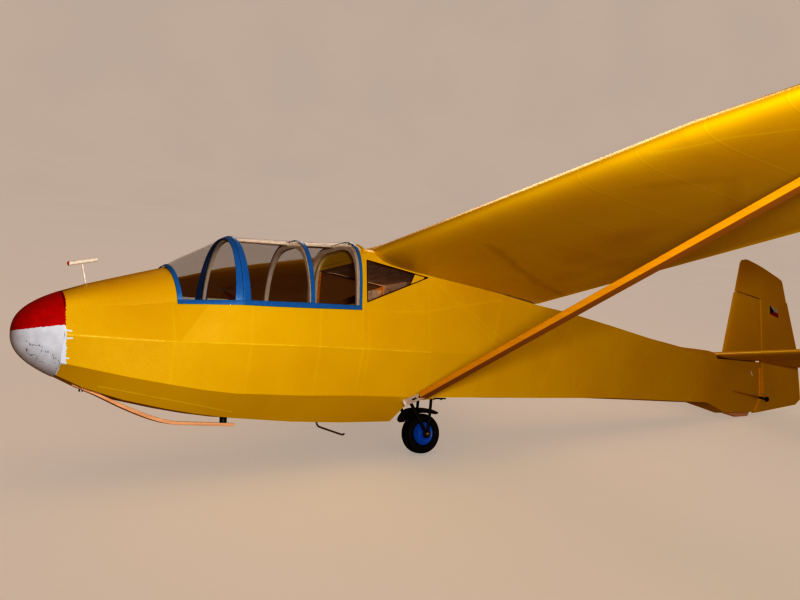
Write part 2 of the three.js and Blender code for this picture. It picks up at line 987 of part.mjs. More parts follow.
function gearLegs(side) {
  const x = side * LEG_X;
  const hub = [x, WHEEL.y, WHEEL.z];
  const front = bar([x, 451.5, -57.8], [x, 475.5, -93.2], 3.6, 1.6, [0, 1, 0]);
  const rear = bar([x, 482.5, -51.7], [x, 478.5, -93.2], 3.2, 1.6, [0, 1, 0]);
  const boss = rod([x - 1.6, hub[1], hub[2]], [x + 1.6, hub[1], hub[2]], 4.7, 16);
  const bore = rod([x - 3, hub[1], hub[2]], [x + 3, hub[1], hub[2]], AXLE_RADIUS + GAP, 16);
  return joined([front, rear, boss]).subtract(bore);
}

function mudguard() {
  const [inner, outer] = [WHEEL.radius + 6.3, WHEEL.radius + 7.5];
  const steps = 8;
  const angles = Array.from({ length: steps + 1 }, (_, k) => radians(54 + (k * 96) / steps));
  const half = LEG_X - 0.8 - GAP;
  return loft(
    angles.map((angle) => {
      const point = (x, r) => [
        x,
        WHEEL.y + r * Math.cos(angle),
        WHEEL.z + r * Math.sin(angle),
      ];
      return [point(half, inner), point(half, outer), point(-half, outer), point(-half, inner)];
    }),
  );
}

// A shape turned about the wheel's axle from [radius, x] points.
function turned(profile, sides) {
  const geometry = new THREE.LatheGeometry(
    profile.map(([r, x]) => new THREE.Vector2(r, x)),
    sides,
  );
  geometry.rotateZ(-Math.PI / 2);
  geometry.translate(0, WHEEL.y, WHEEL.z);
  return solidOf(geometry);
}

function tyre() {
  const { radius, hub, half } = WHEEL;
  const points = [
    [hub, -half + 1.5],
    [hub + 3, -half],
    [radius - 4.5, -half + 0.2],
    [radius - 1.4, -half + 2.8],
    [radius, -2.4],
    [radius, 2.4],
    [radius - 1.4, half - 2.8],
    [radius - 4.5, half - 0.2],
    [hub + 3, half],
    [hub, half - 1.5],
  ];
  return turned([...points, points[0]], 40);
}

function wheelHub() {
  const rim = WHEEL.hub - GAP;
  const bore = AXLE_RADIUS + 0.08;
  const points = [
    [bore, -9],
    [4.5, -9],
    [4.8, -6],
    [rim - 1.5, -6],
    [rim - 1.5, -7],
    [rim, -7],
    [rim, 7],
    [rim - 1.5, 7],
    [rim - 1.5, 6],
    [4.8, 6],
    [4.5, 9],
    [bore, 9],
  ];
  return turned([...points, points[0]], 32);
}

const axle = () =>
  rod([-17, WHEEL.y, WHEEL.z], [17, WHEEL.y, WHEEL.z], AXLE_RADIUS, 32);

// Controls at the tail
const HORN = [12.5, 1175, -37.3];

function rudderHorn() {
  const [x, y, z] = HORN;
  return joined([
    bar([4.8, 1180.6, z], [x, y, z], 3, 2, [0, 0, 1]),
    rod([x - 1.3, y, z], [x + 1.3, y, z], 4, 14),
  ]);
}

function rudderPushrod() {
  const front = past(ROD_END, ROD_EXIT, ROD_INSIDE);
  const clevis = past(ROD_EXIT, ROD_END, -CLEVIS_LENGTH);
  return joined([rod(front, ROD_END, 0.7, 8), rod(clevis, ROD_END, 1.5, 8)]);
}

const controlSleeve = () => rod([9.3, 1138, 8.4], [8.8, 1142, 0.2], 0.9, 8);

const elevatorJoiner = () =>
  rod([-9.2, ELEVATOR_HINGE.y, ELEVATOR_HINGE.z], [9.2, ELEVATOR_HINGE.y, ELEVATOR_HINGE.z], 1.6);

const tailSkid = () =>
  sidePlate(
    [
      [1074, -62],
      [1120, -60],
      [1140, -59.2],
      [1134, -65.8],
      [1104, -67.4],
    ],
    -2.6,
    2.6,
  );

const pitotPost = () => rod([0, 65.8, 52.4], [0, 61.4, 71], 1.1, 8);
const pitotTube = () => rod([0, 47.5, 70], [0, 75.4, 77.4], 2.1, 12);

// The whole glider, piece by piece
const glider = new THREE.Group();

function add(name, solid, material) {
  const mesh = new THREE.Mesh(geometryOf(solid), material);
  mesh.name = name;
  glider.add(mesh);
  return mesh;
}

add("nose_cap", noseCap(), CAP_PAINT);
add("cockpit_tub", cockpitTub(), FILM_YELLOW);
add("belly", belly(), FILM_YELLOW);
add("centre_body", centreBody(), FILM_YELLOW);
add("wing_saddle", wingSaddle(), FILM_YELLOW);
add("tail_boom", tailBoom(), FILM_YELLOW);
add("cockpit_floor", cockpitFloor(), PLYWOOD);
add("rear_bulkhead", rearBulkhead(), FILM_YELLOW);

add("windshield_sheet", canopyShell(SILL_FRONT + 0.6, LID_FRONT - 0.6, 0, SHEET), CLEAR_SHEET);
add("windshield_frame", windshieldFrame(), FRAME_BLUE);
add("lid_sheet", canopyShell(LID_FRONT, TUB_REAR - 0.3, 0, SHEET), CLEAR_SHEET);
add("lid_frame", lidFrame(), FRAME_BLUE);
const formerNames = ["former_front", "former_middle", "former_rear"];
formerNames.forEach((name, k) => add(name, former(FORMER_Y[k]), PLYWOOD));
add("roof_strip_front", roofStrip(FORMER_Y[0][1] + GAP, FORMER_Y[1][0] - GAP), PLYWOOD);
add("roof_strip_rear", roofStrip(FORMER_Y[1][1] + GAP, FORMER_Y[2][0] - GAP), PLYWOOD);
add("lid_hinge_front", lidHinge(LID_HINGE_Y[0]), STEEL);
add("lid_hinge_rear", lidHinge(LID_HINGE_Y[1]), STEEL);

for (const [name, side] of [
  ["left", 1],
  ["right", -1],
]) {
  add("side_window_" + name, windowPane(side), CLEAR_SHEET);
  add("wing_" + name, wingPanel(side), FILM_YELLOW);
  add("aileron_" + name, aileron(side), FILM_YELLOW);
  add("strut_" + name, strut(side), FILM_YELLOW);
  add("strut_foot_" + name, strutFoot(side), ALUMINIUM);
  add("strut_head_" + name, strutHead(side), ALUMINIUM);
  add("gear_legs_" + name, gearLegs(side), BLACK_STEEL);
}

add("mudguard", mudguard(), BLACK_STEEL);
add("tyre", tyre(), RUBBER);
add("wheel_hub", wheelHub(), HUB_BLUE);
add("axle", axle(), STEEL);
add("skid", skid(), PALE_WOOD);
add("skid_block", skidBlock(), RUBBER);
add("skid_screw", skidScrew(), STEEL);
add("tow_hook", towHook(), STEEL);
add("pitot_post", pitotPost(), WHITE_PLASTIC);
add("pitot_tube", pitotTube(), WHITE_PLASTIC);

add("fin", fin(), FILM_YELLOW);
add("rudder", rudder(), FILM_YELLOW);
add("rudder_horn", rudderHorn(), BLACK_PLASTIC);
add("rudder_pushrod", rudderPushrod(), BLACK_PLASTIC);
add("tailplane", tailplane(), FILM_YELLOW);
add("tail_skid", tailSkid(), PALE_WOOD);
add("control_sleeve", controlSleeve(), WHITE_PLASTIC);

// The elevators hang a little below the tailplane's line
const droop = new THREE.Group();
droop.position.set(0, ELEVATOR_HINGE.y, ELEVATOR_HINGE.z);
droop.rotation.x = -radians(ELEVATOR_DROOP_DEG);
glider.add(droop);
for (const [name, solid, material] of [
  ["elevator_left", elevator(1), FILM_YELLOW],
  ["elevator_right", elevator(-1), FILM_YELLOW],
  ["elevator_joiner", elevatorJoiner(), STEEL],
]) {
  const mesh = add(name, solid, material);
  mesh.position.set(0, -ELEVATOR_HINGE.y, -ELEVATOR_HINGE.z);
  droop.add(mesh);
}

// Leaned over to starboard about the fuselage's length, then pitched and set down
const lean = new THREE.Group();
lean.rotation.y = -radians(LEAN_DEG);
lean.add(glider);
const stand = new THREE.Group();
stand.rotation.x = radians(PITCH_DEG);
stand.add(lean);
const box = new THREE.Box3().setFromObject(stand, true);
const middle = box.getCenter(new THREE.Vector3());
stand.position.set(-middle.x, -middle.y, -box.min.z);

export default stand;
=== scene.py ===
import json
import math

import bmesh
import bpy
from mathutils import Matrix, Vector

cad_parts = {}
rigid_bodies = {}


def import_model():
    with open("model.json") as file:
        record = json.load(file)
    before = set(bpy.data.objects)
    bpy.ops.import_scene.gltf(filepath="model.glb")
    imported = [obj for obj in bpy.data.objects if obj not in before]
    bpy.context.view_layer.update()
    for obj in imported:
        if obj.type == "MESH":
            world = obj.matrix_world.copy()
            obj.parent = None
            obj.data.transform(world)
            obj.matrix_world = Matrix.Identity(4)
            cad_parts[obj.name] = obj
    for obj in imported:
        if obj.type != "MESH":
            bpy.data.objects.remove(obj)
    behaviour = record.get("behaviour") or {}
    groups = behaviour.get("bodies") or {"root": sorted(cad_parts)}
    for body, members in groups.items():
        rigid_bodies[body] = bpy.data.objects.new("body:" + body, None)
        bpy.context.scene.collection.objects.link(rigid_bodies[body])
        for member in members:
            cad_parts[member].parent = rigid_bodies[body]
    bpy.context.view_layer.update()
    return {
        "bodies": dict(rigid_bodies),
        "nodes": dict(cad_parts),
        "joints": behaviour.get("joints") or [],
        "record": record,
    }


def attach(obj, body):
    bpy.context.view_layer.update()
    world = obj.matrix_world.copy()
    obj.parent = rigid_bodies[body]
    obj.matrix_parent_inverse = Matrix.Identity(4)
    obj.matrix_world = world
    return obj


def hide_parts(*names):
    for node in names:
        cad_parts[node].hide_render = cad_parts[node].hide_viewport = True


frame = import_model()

# The glider's own frame, in millimetres: +X is port, +Y is aft, +Z is up, and the nose tip is at
# the origin. It leans on its starboard wing tip and sits a little tail down.
MM = 0.001
LEAN = math.radians(15.17)
PITCH = math.radians(-4.524)
WHEEL = Vector((0, 477, -95.4))
TURN = Matrix.Rotation(PITCH, 4, "X") @ Matrix.Rotation(-LEAN, 4, "Y")
joints = {joint["name"]: joint for joint in frame["joints"]}
STAND = Vector(joints["wheel_spin"]["pos_m"]) - TURN @ (WHEEL * MM)
OWN = Matrix.Translation(STAND) @ TURN @ Matrix.Scale(MM, 4)
BACK_SHIFT = TURN.to_3x3().transposed() @ STAND * (-1 / MM)


# Materials

def linear(code):
    """A linear colour from an sRGB hex code."""
    channels = [int(code[i:i + 2], 16) / 255 for i in (1, 3, 5)]
    return [c / 12.92 if c <= 0.04045 else ((c + 0.055) / 1.055) ** 2.4 for c in channels] + [1.0]


def add(tree, kind, wires, out=0, **settings):
    """Adds a node, fills or wires its inputs, and returns one of its outputs."""
    made = tree.nodes.new("ShaderNode" + kind)
    for name, value in settings.items():
        setattr(made, name, value)
    for name, value in wires.items():
        if isinstance(value, bpy.types.NodeSocket):
            tree.links.new(value, made.inputs[name])
        else:
            made.inputs[name].default_value = value
    return made.outputs[out]


def own_place(tree):
    """The surface point in the glider's own frame, in millimetres."""
    here = add(tree, "TexCoord", {}, out="Object")
    back = {"Vector": here, "Location": BACK_SHIFT, "Rotation": (-PITCH, LEAN, 0), "Scale": (1 / MM,) * 3}
    return add(tree, "Mapping", back, vector_type="POINT")


def finish(name, colour, roughness, height=None, relief=0.2, **constants):
    """A material from a colour and a roughness, each a value or a node's output, and a bump height."""
    made = bpy.data.materials[name]
    tree = made.node_tree
    shader = tree.nodes["Principled BSDF"]
    for socket, value in {"Base Color": colour, "Roughness": roughness, **constants}.items():
        if isinstance(value, bpy.types.NodeSocket):
            tree.links.new(value, shader.inputs[socket])
        else:
            shader.inputs[socket].default_value = value
    if height is not None:
        bump = {"Height": height, "Strength": 1.0, "Distance": relief * MM}
        tree.links.new(add(tree, "Bump", bump), shader.inputs["Normal"])
    return made


def fresh(name):
    """A node tree for a new material of that name, and the surface point in it."""
    made = bpy.data.materials.new(name)
    made.use_nodes = True
    return made.node_tree, own_place(made.node_tree)


def noise(tree, place, size, detail=2.0, roughness=0.5, stretch=(1, 1, 1)):
    """Noise from 0 to 1 whose features are about size millimetres across."""
    scaled = add(tree, "VectorMath", {0: place, 1: stretch}, operation="MULTIPLY")
    wires = {"Vector": scaled, "Scale": 1 / size, "Detail": detail, "Roughness": roughness}
    return add(tree, "TexNoise", wires)


def spread(tree, value, low, high, from_low=0.3, from_high=0.7):
    """A value taken from its own range to low and high, and held there."""
    wires = {"Value": value, "From Min": from_low, "From Max": from_high, "To Min": low, "To Max": high}
    return add(tree, "MapRange", wires)


def over(tree, share, under, cover):
    """One colour laid over another, by share."""
    under, cover = [linear(c) if isinstance(c, str) else c for c in (under, cover)]
    return add(tree, "Mix", {0: share, 6: under, 7: cover}, out=2, data_type="RGBA")


def toned(tree, value, light, dark):
    """Light where a noise is low and dark where it is high."""
    return over(tree, spread(tree, value, 0, 1), light, dark)


def calc(tree, operation, a, b=0.0):
    """One operation on two values."""
    return add(tree, "Math", {0: a, 1: b}, operation=operation)


def axis(tree, place, letter):
    """One coordinate of a place."""
    return add(tree, "SeparateXYZ", {0: place}, out=letter)


def near_line(tree, flat_place, start, end, width):
    """1 on the line between two points, falling to 0 at width from it."""
    start, along = Vector(start), Vector(end) - Vector(start)
    offset = add(tree, "VectorMath", {0: flat_place, 1: start}, operation="SUBTRACT")
    dot = {0: offset, 1: along / along.length_squared}
    share = add(tree, "VectorMath", dot, out="Value", operation="DOT_PRODUCT")
    held = add(tree, "Math", {0: share, 1: 1.0}, operation="MULTIPLY", use_clamp=True)
    foot = add(tree, "VectorMath", {0: along, "Scale": held}, operation="SCALE")
    aside = add(tree, "VectorMath", {0: offset, 1: foot}, operation="SUBTRACT")
    far = add(tree, "VectorMath", {0: aside}, out="Value", operation="LENGTH")
    wires = {"Value": far, "From Min": width, "From Max": 0.0}
    return add(tree, "MapRange", wires, interpolation_type="SMOOTHSTEP")


def most(tree, values):
    """The largest of several values."""
    top = values[0]
    for value in values[1:]:
        top = calc(tree, "MAXIMUM", top, value)
    return top


def near_lines(tree, flat, pairs, width):
    """The same for many lines at once, given in side view as pairs of (y, z) points."""
    return most(tree, [near_line(tree, flat, (0, *a), (0, *b), width) for a, b in pairs])


# What lies under the film, in side view as (y, z) points: it shows as faint ridges with a painted highlight
SIDE_STRINGER = [(40, -3.2), (105, -4.5), (178, -3.8), (288, -1), (350, -0.5), (448, 1)]
BELLY_CREASE = [(78.9, -50.4), (139.9, -60.6), (216.5, -72.9)]
BODY_MEMBERS = [
    ((141, -48), (141, 34)),
    ((219, -52), (219, 40)),
    ((298, -53), (298, 44)),
    ((360, -52), (360, 50)),
    ((446, -52), (448, 80)),
    ((379, 43.7), (442, 48.6)),
    ((434.5, 48), (565, 73.6)),
    ((458.5, 86), (565.5, 23)),
    ((466, 83), (549, 19.5)),
    ((565, 73.6), (549, 19.5)),
    ((529, -28), (521, -47)),
    ((616, -15), (603, -46)),
]
BOOM_MEMBERS = [
    ((705, -46), (705, 66)),
    ((636, -44), (703, 64)),
    ((790, -44), (790, 55)),
    ((707, -42), (788, 52)),
    ((880, -44), (880, 42)),
    ((792, -40), (878, 38)),
    ((960, -45), (960, 30)),
    ((882, -40), (958, 27)),
    ((1040, -50), (1040, 30)),
    ((962, -41), (1036, 24)),
    ((1053, 18.5), (1150, -6)),
]
TAIL_MEMBERS = [
    ((1179, -8), (1262, -36)),
    ((1179, 22), (1284, 16)),
    ((1179, 118), (1263, 96)),
]

# Iron-on polyester film in chrome yellow, shrunk tight with a hot iron: a smooth satin gloss, a
# little deeper in colour in patches, with the wood under it as faint ridges with a painted highlight
FILM_LIGHT = "#DEBE00"
FILM_DEEP = "#D6B200"
FILM_RIDGE_HIGHLIGHT = "#E8D03A"
MEMBER_WIDTH, RUN_WIDTH = 2.4, 1.3  # how far to each side a line fades out


def film_colour(tree, place):
    patches = noise(tree, place, 110, detail=3)
    return toned(tree, patches, FILM_LIGHT, FILM_DEEP)


def film_finish(name, tree, place, colour, ridges):
    """The film's gloss and fine shrink ripple, with ridges from 0 to 1 pushed up from below."""
    ripple = noise(tree, place, 9, detail=1)
    cloth = noise(tree, place, 2.2, detail=0)
    worn = calc(tree, "ADD", ripple, cloth)
    faint = calc(tree, "MULTIPLY", ripple, 0.35)
    height = calc(tree, "ADD", faint, ridges)
    gloss = spread(tree, worn, 0.3, 0.42, 0.7, 1.3)
    return finish(name, colour, gloss, height, 0.14)


def side_film(name, members, strength, runs=(), extra=None):
    """Film over a body whose members run in side view; the runs are clearer, narrower lines. Both are
    painted highlights over bumped ridges.
    """
    tree, place = fresh(name)
    flat = add(tree, "CombineXYZ", {letter: axis(tree, place, letter) for letter in "YZ"})
    ridges = near_lines(tree, flat, members, MEMBER_WIDTH)
    broken = spread(tree, noise(tree, place, 24), 0.2 * strength, strength)
    shown = calc(tree, "MULTIPLY", ridges, broken)
    if runs:
        pairs = [pair for run in runs for pair in zip(run, run[1:])]
        clear = near_lines(tree, flat, pairs, RUN_WIDTH)
        patchy = spread(tree, noise(tree, place, 15), 0.25, 1.0)
        clear = calc(tree, "MULTIPLY", clear, patchy)
        shown = calc(tree, "MAXIMUM", shown, clear)
    # The ridges and runs are painted a lighter yellow: a painted highlight
    colour = over(tree, shown, film_colour(tree, place), FILM_RIDGE_HIGHLIGHT)
    if extra:
        colour = extra(tree, place, flat, colour)
    return film_finish(name, tree, place, colour, shown)


def nose_marks(tree, place, flat, colour):
    """The cap's enamel laid a little over the film, ragged, and a painted highlight along the mid stringer.
    """
    stringer_highlight = near_line(tree, flat, (0, 40, -3.2), (0, 130, -4.5), 1.5)
    patchy = spread(tree, noise(tree, place, 7), 0.1, 0.7)
    stringer_highlight = calc(tree, "MULTIPLY", stringer_highlight, patchy)
    colour = over(tree, stringer_highlight, colour, "#F6DC7A")
    y = axis(tree, place, "Y")
    z = axis(tree, place, "Z")
    edge = {"Value": z, "From Min": 5.4, "From Max": -30.5, "To Min": 41.0, "To Max": 45.6}
    edge = add(tree, "MapRange", edge)
    under = calc(tree, "LESS_THAN", z, -30.5)
    under = calc(tree, "MULTIPLY", under, -4.1)
    edge = calc(tree, "ADD", edge, under)
    ragged = spread(tree, noise(tree, place, 2.6, detail=4), -0.9, 0.9)
    edge = calc(tree, "ADD", edge, ragged)
    enamel = calc(tree, "LESS_THAN", y, edge)
    drops = near_lines(tree, flat, ENAMEL_DROPS, 1.5)
    drops = calc(tree, "GREATER_THAN", drops, 0.35)
    enamel = calc(tree, "MAXIMUM", enamel, drops)
    low = calc(tree, "LESS_THAN", z, 5.8)
    cover = over(tree, low, "#B4070B", "#D8E2F0")
    return over(tree, enamel, colour, cover)


ENAMEL_DROPS = [
    ((41, 1.2), (46, 0.6)),
    ((42, -6.6), (47, -6.0)),
    ((43, -24.4), (46.6, -24.8)),
]

body_film = side_film("body_film", BODY_MEMBERS, 0.26, [SIDE_STRINGER, BELLY_CREASE], nose_marks)
boom_film = side_film("boom_film", BOOM_MEMBERS, 0.2)
tail_film = side_film("tail_film", TAIL_MEMBERS, 0.25)


def across_film(name, root, pitch, marks=None):
    """Film over ribs that stand at a pitch along x from the root, each with a painted highlight."""
    tree, place = fresh(name)
    x = axis(tree, place, "X")
    out = calc(tree, "ABSOLUTE", x)
    from_root = calc(tree, "SUBTRACT", out, root)
    off = calc(tree, "PINGPONG", from_root, pitch / 2)
    rib = {"Value": off, "From Min": 1.6, "From Max": 0.0, "To Max": 0.5}
    ridges = add(tree, "MapRange", rib, interpolation_type="SMOOTHSTEP")
    broken = spread(tree, noise(tree, place, 30), 0.0, 0.35)
    shown = calc(tree, "MULTIPLY", ridges, broken)
    colour = over(tree, shown, film_colour(tree, place), FILM_RIDGE_HIGHLIGHT)
    if marks:
        colour = marks(tree, place, colour)
    return film_finish(name, tree, place, colour, ridges)


# On the wing's underside in plan, as (x, y) points: a painted reflection line near the nose, then a darker
# band and a painted shade streak that show darker, and brownish clouds
PAINTED_REFLECTION_LINE = [(443, 382), (486, 393), (504, 397), (545, 420)]
DARKER_BAND = [(408, 426), (438, 444), (459, 463), (436, 495), (416, 519)]
PAINTED_SHADE_STREAK = [(189, 430), (172, 466), (150, 499), (115, 568), (100, 615)]
BROWNISH_CLOUDS = [(150, 568), (207, 531), (222, 573), (293, 514)]


def wing_marks(tree, place, colour):
    """Marks on the wing's film, each blurred: a painted shade streak, a darker band, a painted reflection
    line and brownish clouds.
    """
    x = axis(tree, place, "X")
    y = axis(tree, place, "Y")
    out = calc(tree, "ABSOLUTE", x)
    plan = add(tree, "CombineXYZ", {"X": out, "Y": y})
    wander = spread(tree, noise(tree, place, 22, detail=3), -4, 4, 0.25, 0.75)
    waved = add(tree, "CombineXYZ", {"X": wander, "Y": wander})
    waved = add(tree, "VectorMath", {0: plan, 1: waved}, operation="ADD")
    # A painted shade streak, a darker band and a painted reflection line, then brownish clouds
    for run, where, width, strength, paint in (
        (PAINTED_SHADE_STREAK, waved, 10, 0.25, "#A06A10"),
        (DARKER_BAND, plan, 14, 0.12, "#A06A10"),
        (PAINTED_REFLECTION_LINE, plan, 2.6, 0.3, FILM_RIDGE_HIGHLIGHT),
    ):
        line = most(tree, [near_line(tree, where, (*a, 0), (*b, 0), width) for a, b in zip(run, run[1:])])
        line = calc(tree, "MULTIPLY", line, strength)
        colour = over(tree, line, colour, paint)
    spots = most(tree, [near_line(tree, waved, (*a, 0), (a[0] + 22, a[1], 0), 26) for a in BROWNISH_CLOUDS])
    spots = calc(tree, "MULTIPLY", spots, 0.3)
    return over(tree, spots, colour, "#C79A48")


wing_film = across_film("wing_film", 52, 63.25, wing_marks)
tailplane_film = across_film("tailplane_film", 10, 44)


def strut_paint():
    """Yellow enamel brushed on the pine struts: faint strokes along them, and browner painted shade below.
    """
    tree, place = fresh("strut_enamel")
    strokes = noise(tree, place, 2.5, detail=2, stretch=(0.05, 1, 1))
    colour = over(tree, spread(tree, strokes, 0, 0.5), "#DDA91C", "#CC9410")
    # Painted shade: the faces that look down are made browner
    facing = axis(tree, add(tree, "TexCoord", {}, out="Normal"), "Z")
    under = spread(tree, facing, 0.7, 0, -0.75, -0.25)
    colour = over(tree, under, colour, "#A8743C")
    return finish("strut_enamel", colour, spread(tree, strokes, 0.3, 0.42), strokes, 0.05)


strut_enamel = strut_paint()


def cap_enamel():
    """Brushed enamel on a sanded fibreglass cap: red above, white below, with dark hairline
    cracks and chips in the white where the cap has been knocked."""
    tree, place = fresh("cap_enamel")
    y = axis(tree, place, "Y")
    z = axis(tree, place, "Z")
    slope = calc(tree, "MULTIPLY", y, 0.155)
    above = calc(tree, "SUBTRACT", z, slope)
    wobble = noise(tree, place, 3, detail=2)
    wobble = spread(tree, wobble, -0.35, 0.35)
    above = calc(tree, "ADD", above, wobble)
    is_red = spread(tree, above, 0, 1, 0.0, 0.25)
    strokes = noise(tree, place, 5, detail=3, stretch=(1, 0.3, 1))
    red = toned(tree, strokes, "#C40A0A", "#B00609")
    dusty = noise(tree, place, 9, detail=4)
    white = over(tree, spread(tree, dusty, 0, 0.5), "#D8E2F0", "#BCC2CC")
    flat = add(tree, "CombineXYZ", {"Y": y, "Z": z})
    bent = noise(tree, place, 6, detail=3)
    bent = spread(tree, bent, -2.2, 2.2, 0.25, 0.75)
    bend = add(tree, "CombineXYZ", {"Z": bent})
    bent_flat = add(tree, "VectorMath", {0: flat, 1: bend}, operation="ADD")
    crack = near_lines(tree, bent_flat, CAP_CRACKS, 0.42)
    gaps = noise(tree, place, 2.2, detail=2)
    crack = calc(tree, "MULTIPLY", crack, spread(tree, gaps, 0.0, 1.0, 0.42, 0.6))
    white = over(tree, crack, white, "#4A453C")
    specks = noise(tree, place, 1.6, detail=1)
    low = add(tree, "MapRange", {"Value": z, "From Min": -8.0, "From Max": -34.0})
    specks = calc(tree, "MULTIPLY", spread(tree, specks, 0, 1, 0.7, 0.76), low)
    white = over(tree, specks, white, "#6E675C")
    colour = over(tree, is_red, white, red)
    dent = calc(tree, "MULTIPLY", crack, -1.0)
    strokes_low = calc(tree, "MULTIPLY", strokes, 0.4)
    height = calc(tree, "ADD", dent, strokes_low)
    return finish("cap_enamel", colour, spread(tree, strokes, 0.3, 0.45), height, 0.25)


CAP_CRACKS = [
    ((8, -9), (18, -13)),
    ((18, -13), (30, -20)),
    ((30, -20), (39, -27)),
    ((24, -17), (21, -27)),
    ((33, -22), (36, -31)),
    ((12, -18), (26, -30)),
]
cap = cap_enamel()


def blue_tape():
    """Self-adhesive vinyl trim in mid blue: an even satin face, lightly scuffed."""
    tree, place = fresh("blue_vinyl")
    scuffs = noise(tree, place, 3.5, detail=4, roughness=0.65)
    colour = over(tree, spread(tree, scuffs, 0, 0.3, 0.45, 0.8), "#2A74B4", "#5C92C4")
    return finish("blue_vinyl", colour, spread(tree, scuffs, 0.3, 0.46), scuffs, 0.04)


blue_vinyl = blue_tape()


def clear_glazing():
    """Thermoformed PETG sheet: glossy and clear, with a thin brown film of dust."""
    tree, place = fresh("clear_petg")
    dust = noise(tree, place, 24, detail=4, roughness=0.6)
    colour = toned(tree, dust, "#241209", "#3A2418")
    fine = noise(tree, place, 1.5, detail=3, stretch=(1, 0.15, 1))
    gloss = spread(tree, fine, 0.05, 0.12)
    constants = {"Alpha": 0.13, "IOR": 1.57, "Coat Weight": 0.6, "Coat Roughness": 0.04}
    return finish("clear_petg", colour, gloss, **constants)


clear_petg = clear_glazing()


def window_pane():
    """Flat clear acetate in the side windows: clean, with a faint scratched haze."""
    tree, place = fresh("clear_acetate")
    haze = noise(tree, place, 3, detail=4, roughness=0.7, stretch=(1, 0.4, 1))
    colour = toned(tree, haze, "#4E4038", "#6E6058")
    gloss = spread(tree, haze, 0.06, 0.14)
    return finish("clear_acetate", colour, gloss, **{"Alpha": 0.08, "IOR": 1.47, "Coat Weight": 0.3})


clear_acetate = window_pane()


def birch_ply():
    """Birch plywood for the canopy arches, greyed by handling: pale, with a soft short grain."""
    tree, place = fresh("birch_ply")
    grain = noise(tree, place, 2.2, detail=3, stretch=(0.25, 1, 0.25))
    ply_edges = axis(tree, place, "Y")
    ply_edges = calc(tree, "PINGPONG", ply_edges, 1.1)
    ply_edges = spread(tree, ply_edges, 0, 0.35, 0.55, 1.1)
    colour = toned(tree, grain, "#F2E8DA", "#DCCCB8")
    colour = over(tree, ply_edges, colour, "#B79E86")
    return finish("birch_ply", colour, spread(tree, grain, 0.5, 0.68), grain, 0.08)


birch = birch_ply()


def cabin_stain():
    """Thin plywood lining, stained walnut brown, with the grain along it and darker patches."""
    tree, place = fresh("stained_lining")
    grain = noise(tree, place, 3, detail=4, stretch=(1, 0.12, 1))
    brown = toned(tree, grain, "#6A3413", "#48210B")
    stains = noise(tree, place, 26, detail=4)
    colour = over(tree, spread(tree, stains, 0, 0.5, 0.5, 0.7), brown, "#8A5420")
    return finish("stained_lining", colour, spread(tree, grain, 0.5, 0.66), grain, 0.1)


stained_lining = cabin_stain()


def room_stain():
    """Plywood in the room under the wing: brown walls; a frame in front of them and patches further aft in
    ochre, painted shade standing for the yellow film; and a bare beige ceiling and rear wall with smudges of
    glue and stain."""
    tree, place = fresh("room_lining")
    y, z = [axis(tree, place, letter) for letter in "YZ"]
    grain = noise(tree, place, 3, detail=4, stretch=(1, 0.12, 1))
    brown = toned(tree, grain, "#A06A46", "#7C4E32")
    painted_shade_ochre = toned(tree, grain, "#E6A020", "#CC8414")
    streaks = noise(tree, place, 14, detail=4, stretch=(0.5, 1, 1))
    beige = toned(tree, streaks, "#F2DCC4", "#CDA98A")
    smudges = noise(tree, place, 11, detail=3)
    beige = over(tree, spread(tree, smudges, 0, 0.6, 0.58, 0.66), beige, "#8F6A4A")
    # The front frame and the patches aft are ochre: painted shade standing for the yellow film
    frame = calc(tree, "LESS_THAN", y, 361.0)
    colour = over(tree, frame, brown, painted_shade_ochre)
    past = calc(tree, "GREATER_THAN", y, 411.0)
    blotch = spread(tree, noise(tree, place, 16, detail=2), 0, 1, 0.46, 0.5)
    rear_part = over(tree, blotch, painted_shade_ochre, beige)
    colour = over(tree, past, colour, rear_part)
    fall = {"Value": y, "From Min": 377.6, "From Max": 448.0, "To Min": 99.6, "To Max": 90.6}
    fall = add(tree, "MapRange", fall)
    ceiling = calc(tree, "GREATER_THAN", z, fall)
    rear = calc(tree, "GREATER_THAN", y, 449.3)
    bare = calc(tree, "MAXIMUM", ceiling, rear)
    colour = over(tree, bare, colour, beige)
    return finish("room_lining", colour, spread(tree, grain, 0.5, 0.66), grain, 0.1)


room_lining = room_stain()


def wood_grain(name, light, dark, relief):
    """Straight-grained softwood, sanded and left bare: long fine lines and a dry sheen."""
    tree, place = fresh(name)
    grain = noise(tree, place, 1.6, detail=4, stretch=(1, 0.04, 1))
    broad = noise(tree, place, 9, detail=2, stretch=(1, 0.1, 1))
    colour = toned(tree, grain, light, dark)
    colour = over(tree, spread(tree, broad, 0, 0.35), colour, dark)
    return finish(name, colour, spread(tree, grain, 0.45, 0.62), grain, relief)


bare_pine = wood_grain("bare_pine", "#ECC5A2", "#D6A578", 0.12)


def mottled(name, light, dark, size, rough, relief, **constants):
    """A plain finish with a fine mottle: how cast, moulded and sprayed surfaces look close to."""
    tree, place = fresh(name)
    speck = noise(tree, place, size, detail=3, roughness=0.6)
    colour = toned(tree, speck, light, dark)
    return finish(name, colour, spread(tree, speck, *rough), speck, relief, **constants)


# Dark green rubber, cut and eased, at the skid
green_rubber = mottled("green_rubber", "#26332C", "#161F1A", 1.6, (0.5, 0.7), 0.15)
# A thin dark brown line round the panes, glossy
dark_pane_edging = mottled("dark_pane_edging", "#4A2A10", "#33190A", 2, (0.35, 0.5), 0.05)
# Moulded sponge rubber, dusty black and dead matt
sponge_rubber = mottled("sponge_rubber", "#1D1B1B", "#121112", 1.4, (0.72, 0.9), 0.25)
# Injection-moulded nylon in mid blue, with a soft gloss
blue_nylon = mottled("blue_nylon", "#1F67C0", "#1858AA", 4, (0.36, 0.5), 0.06)
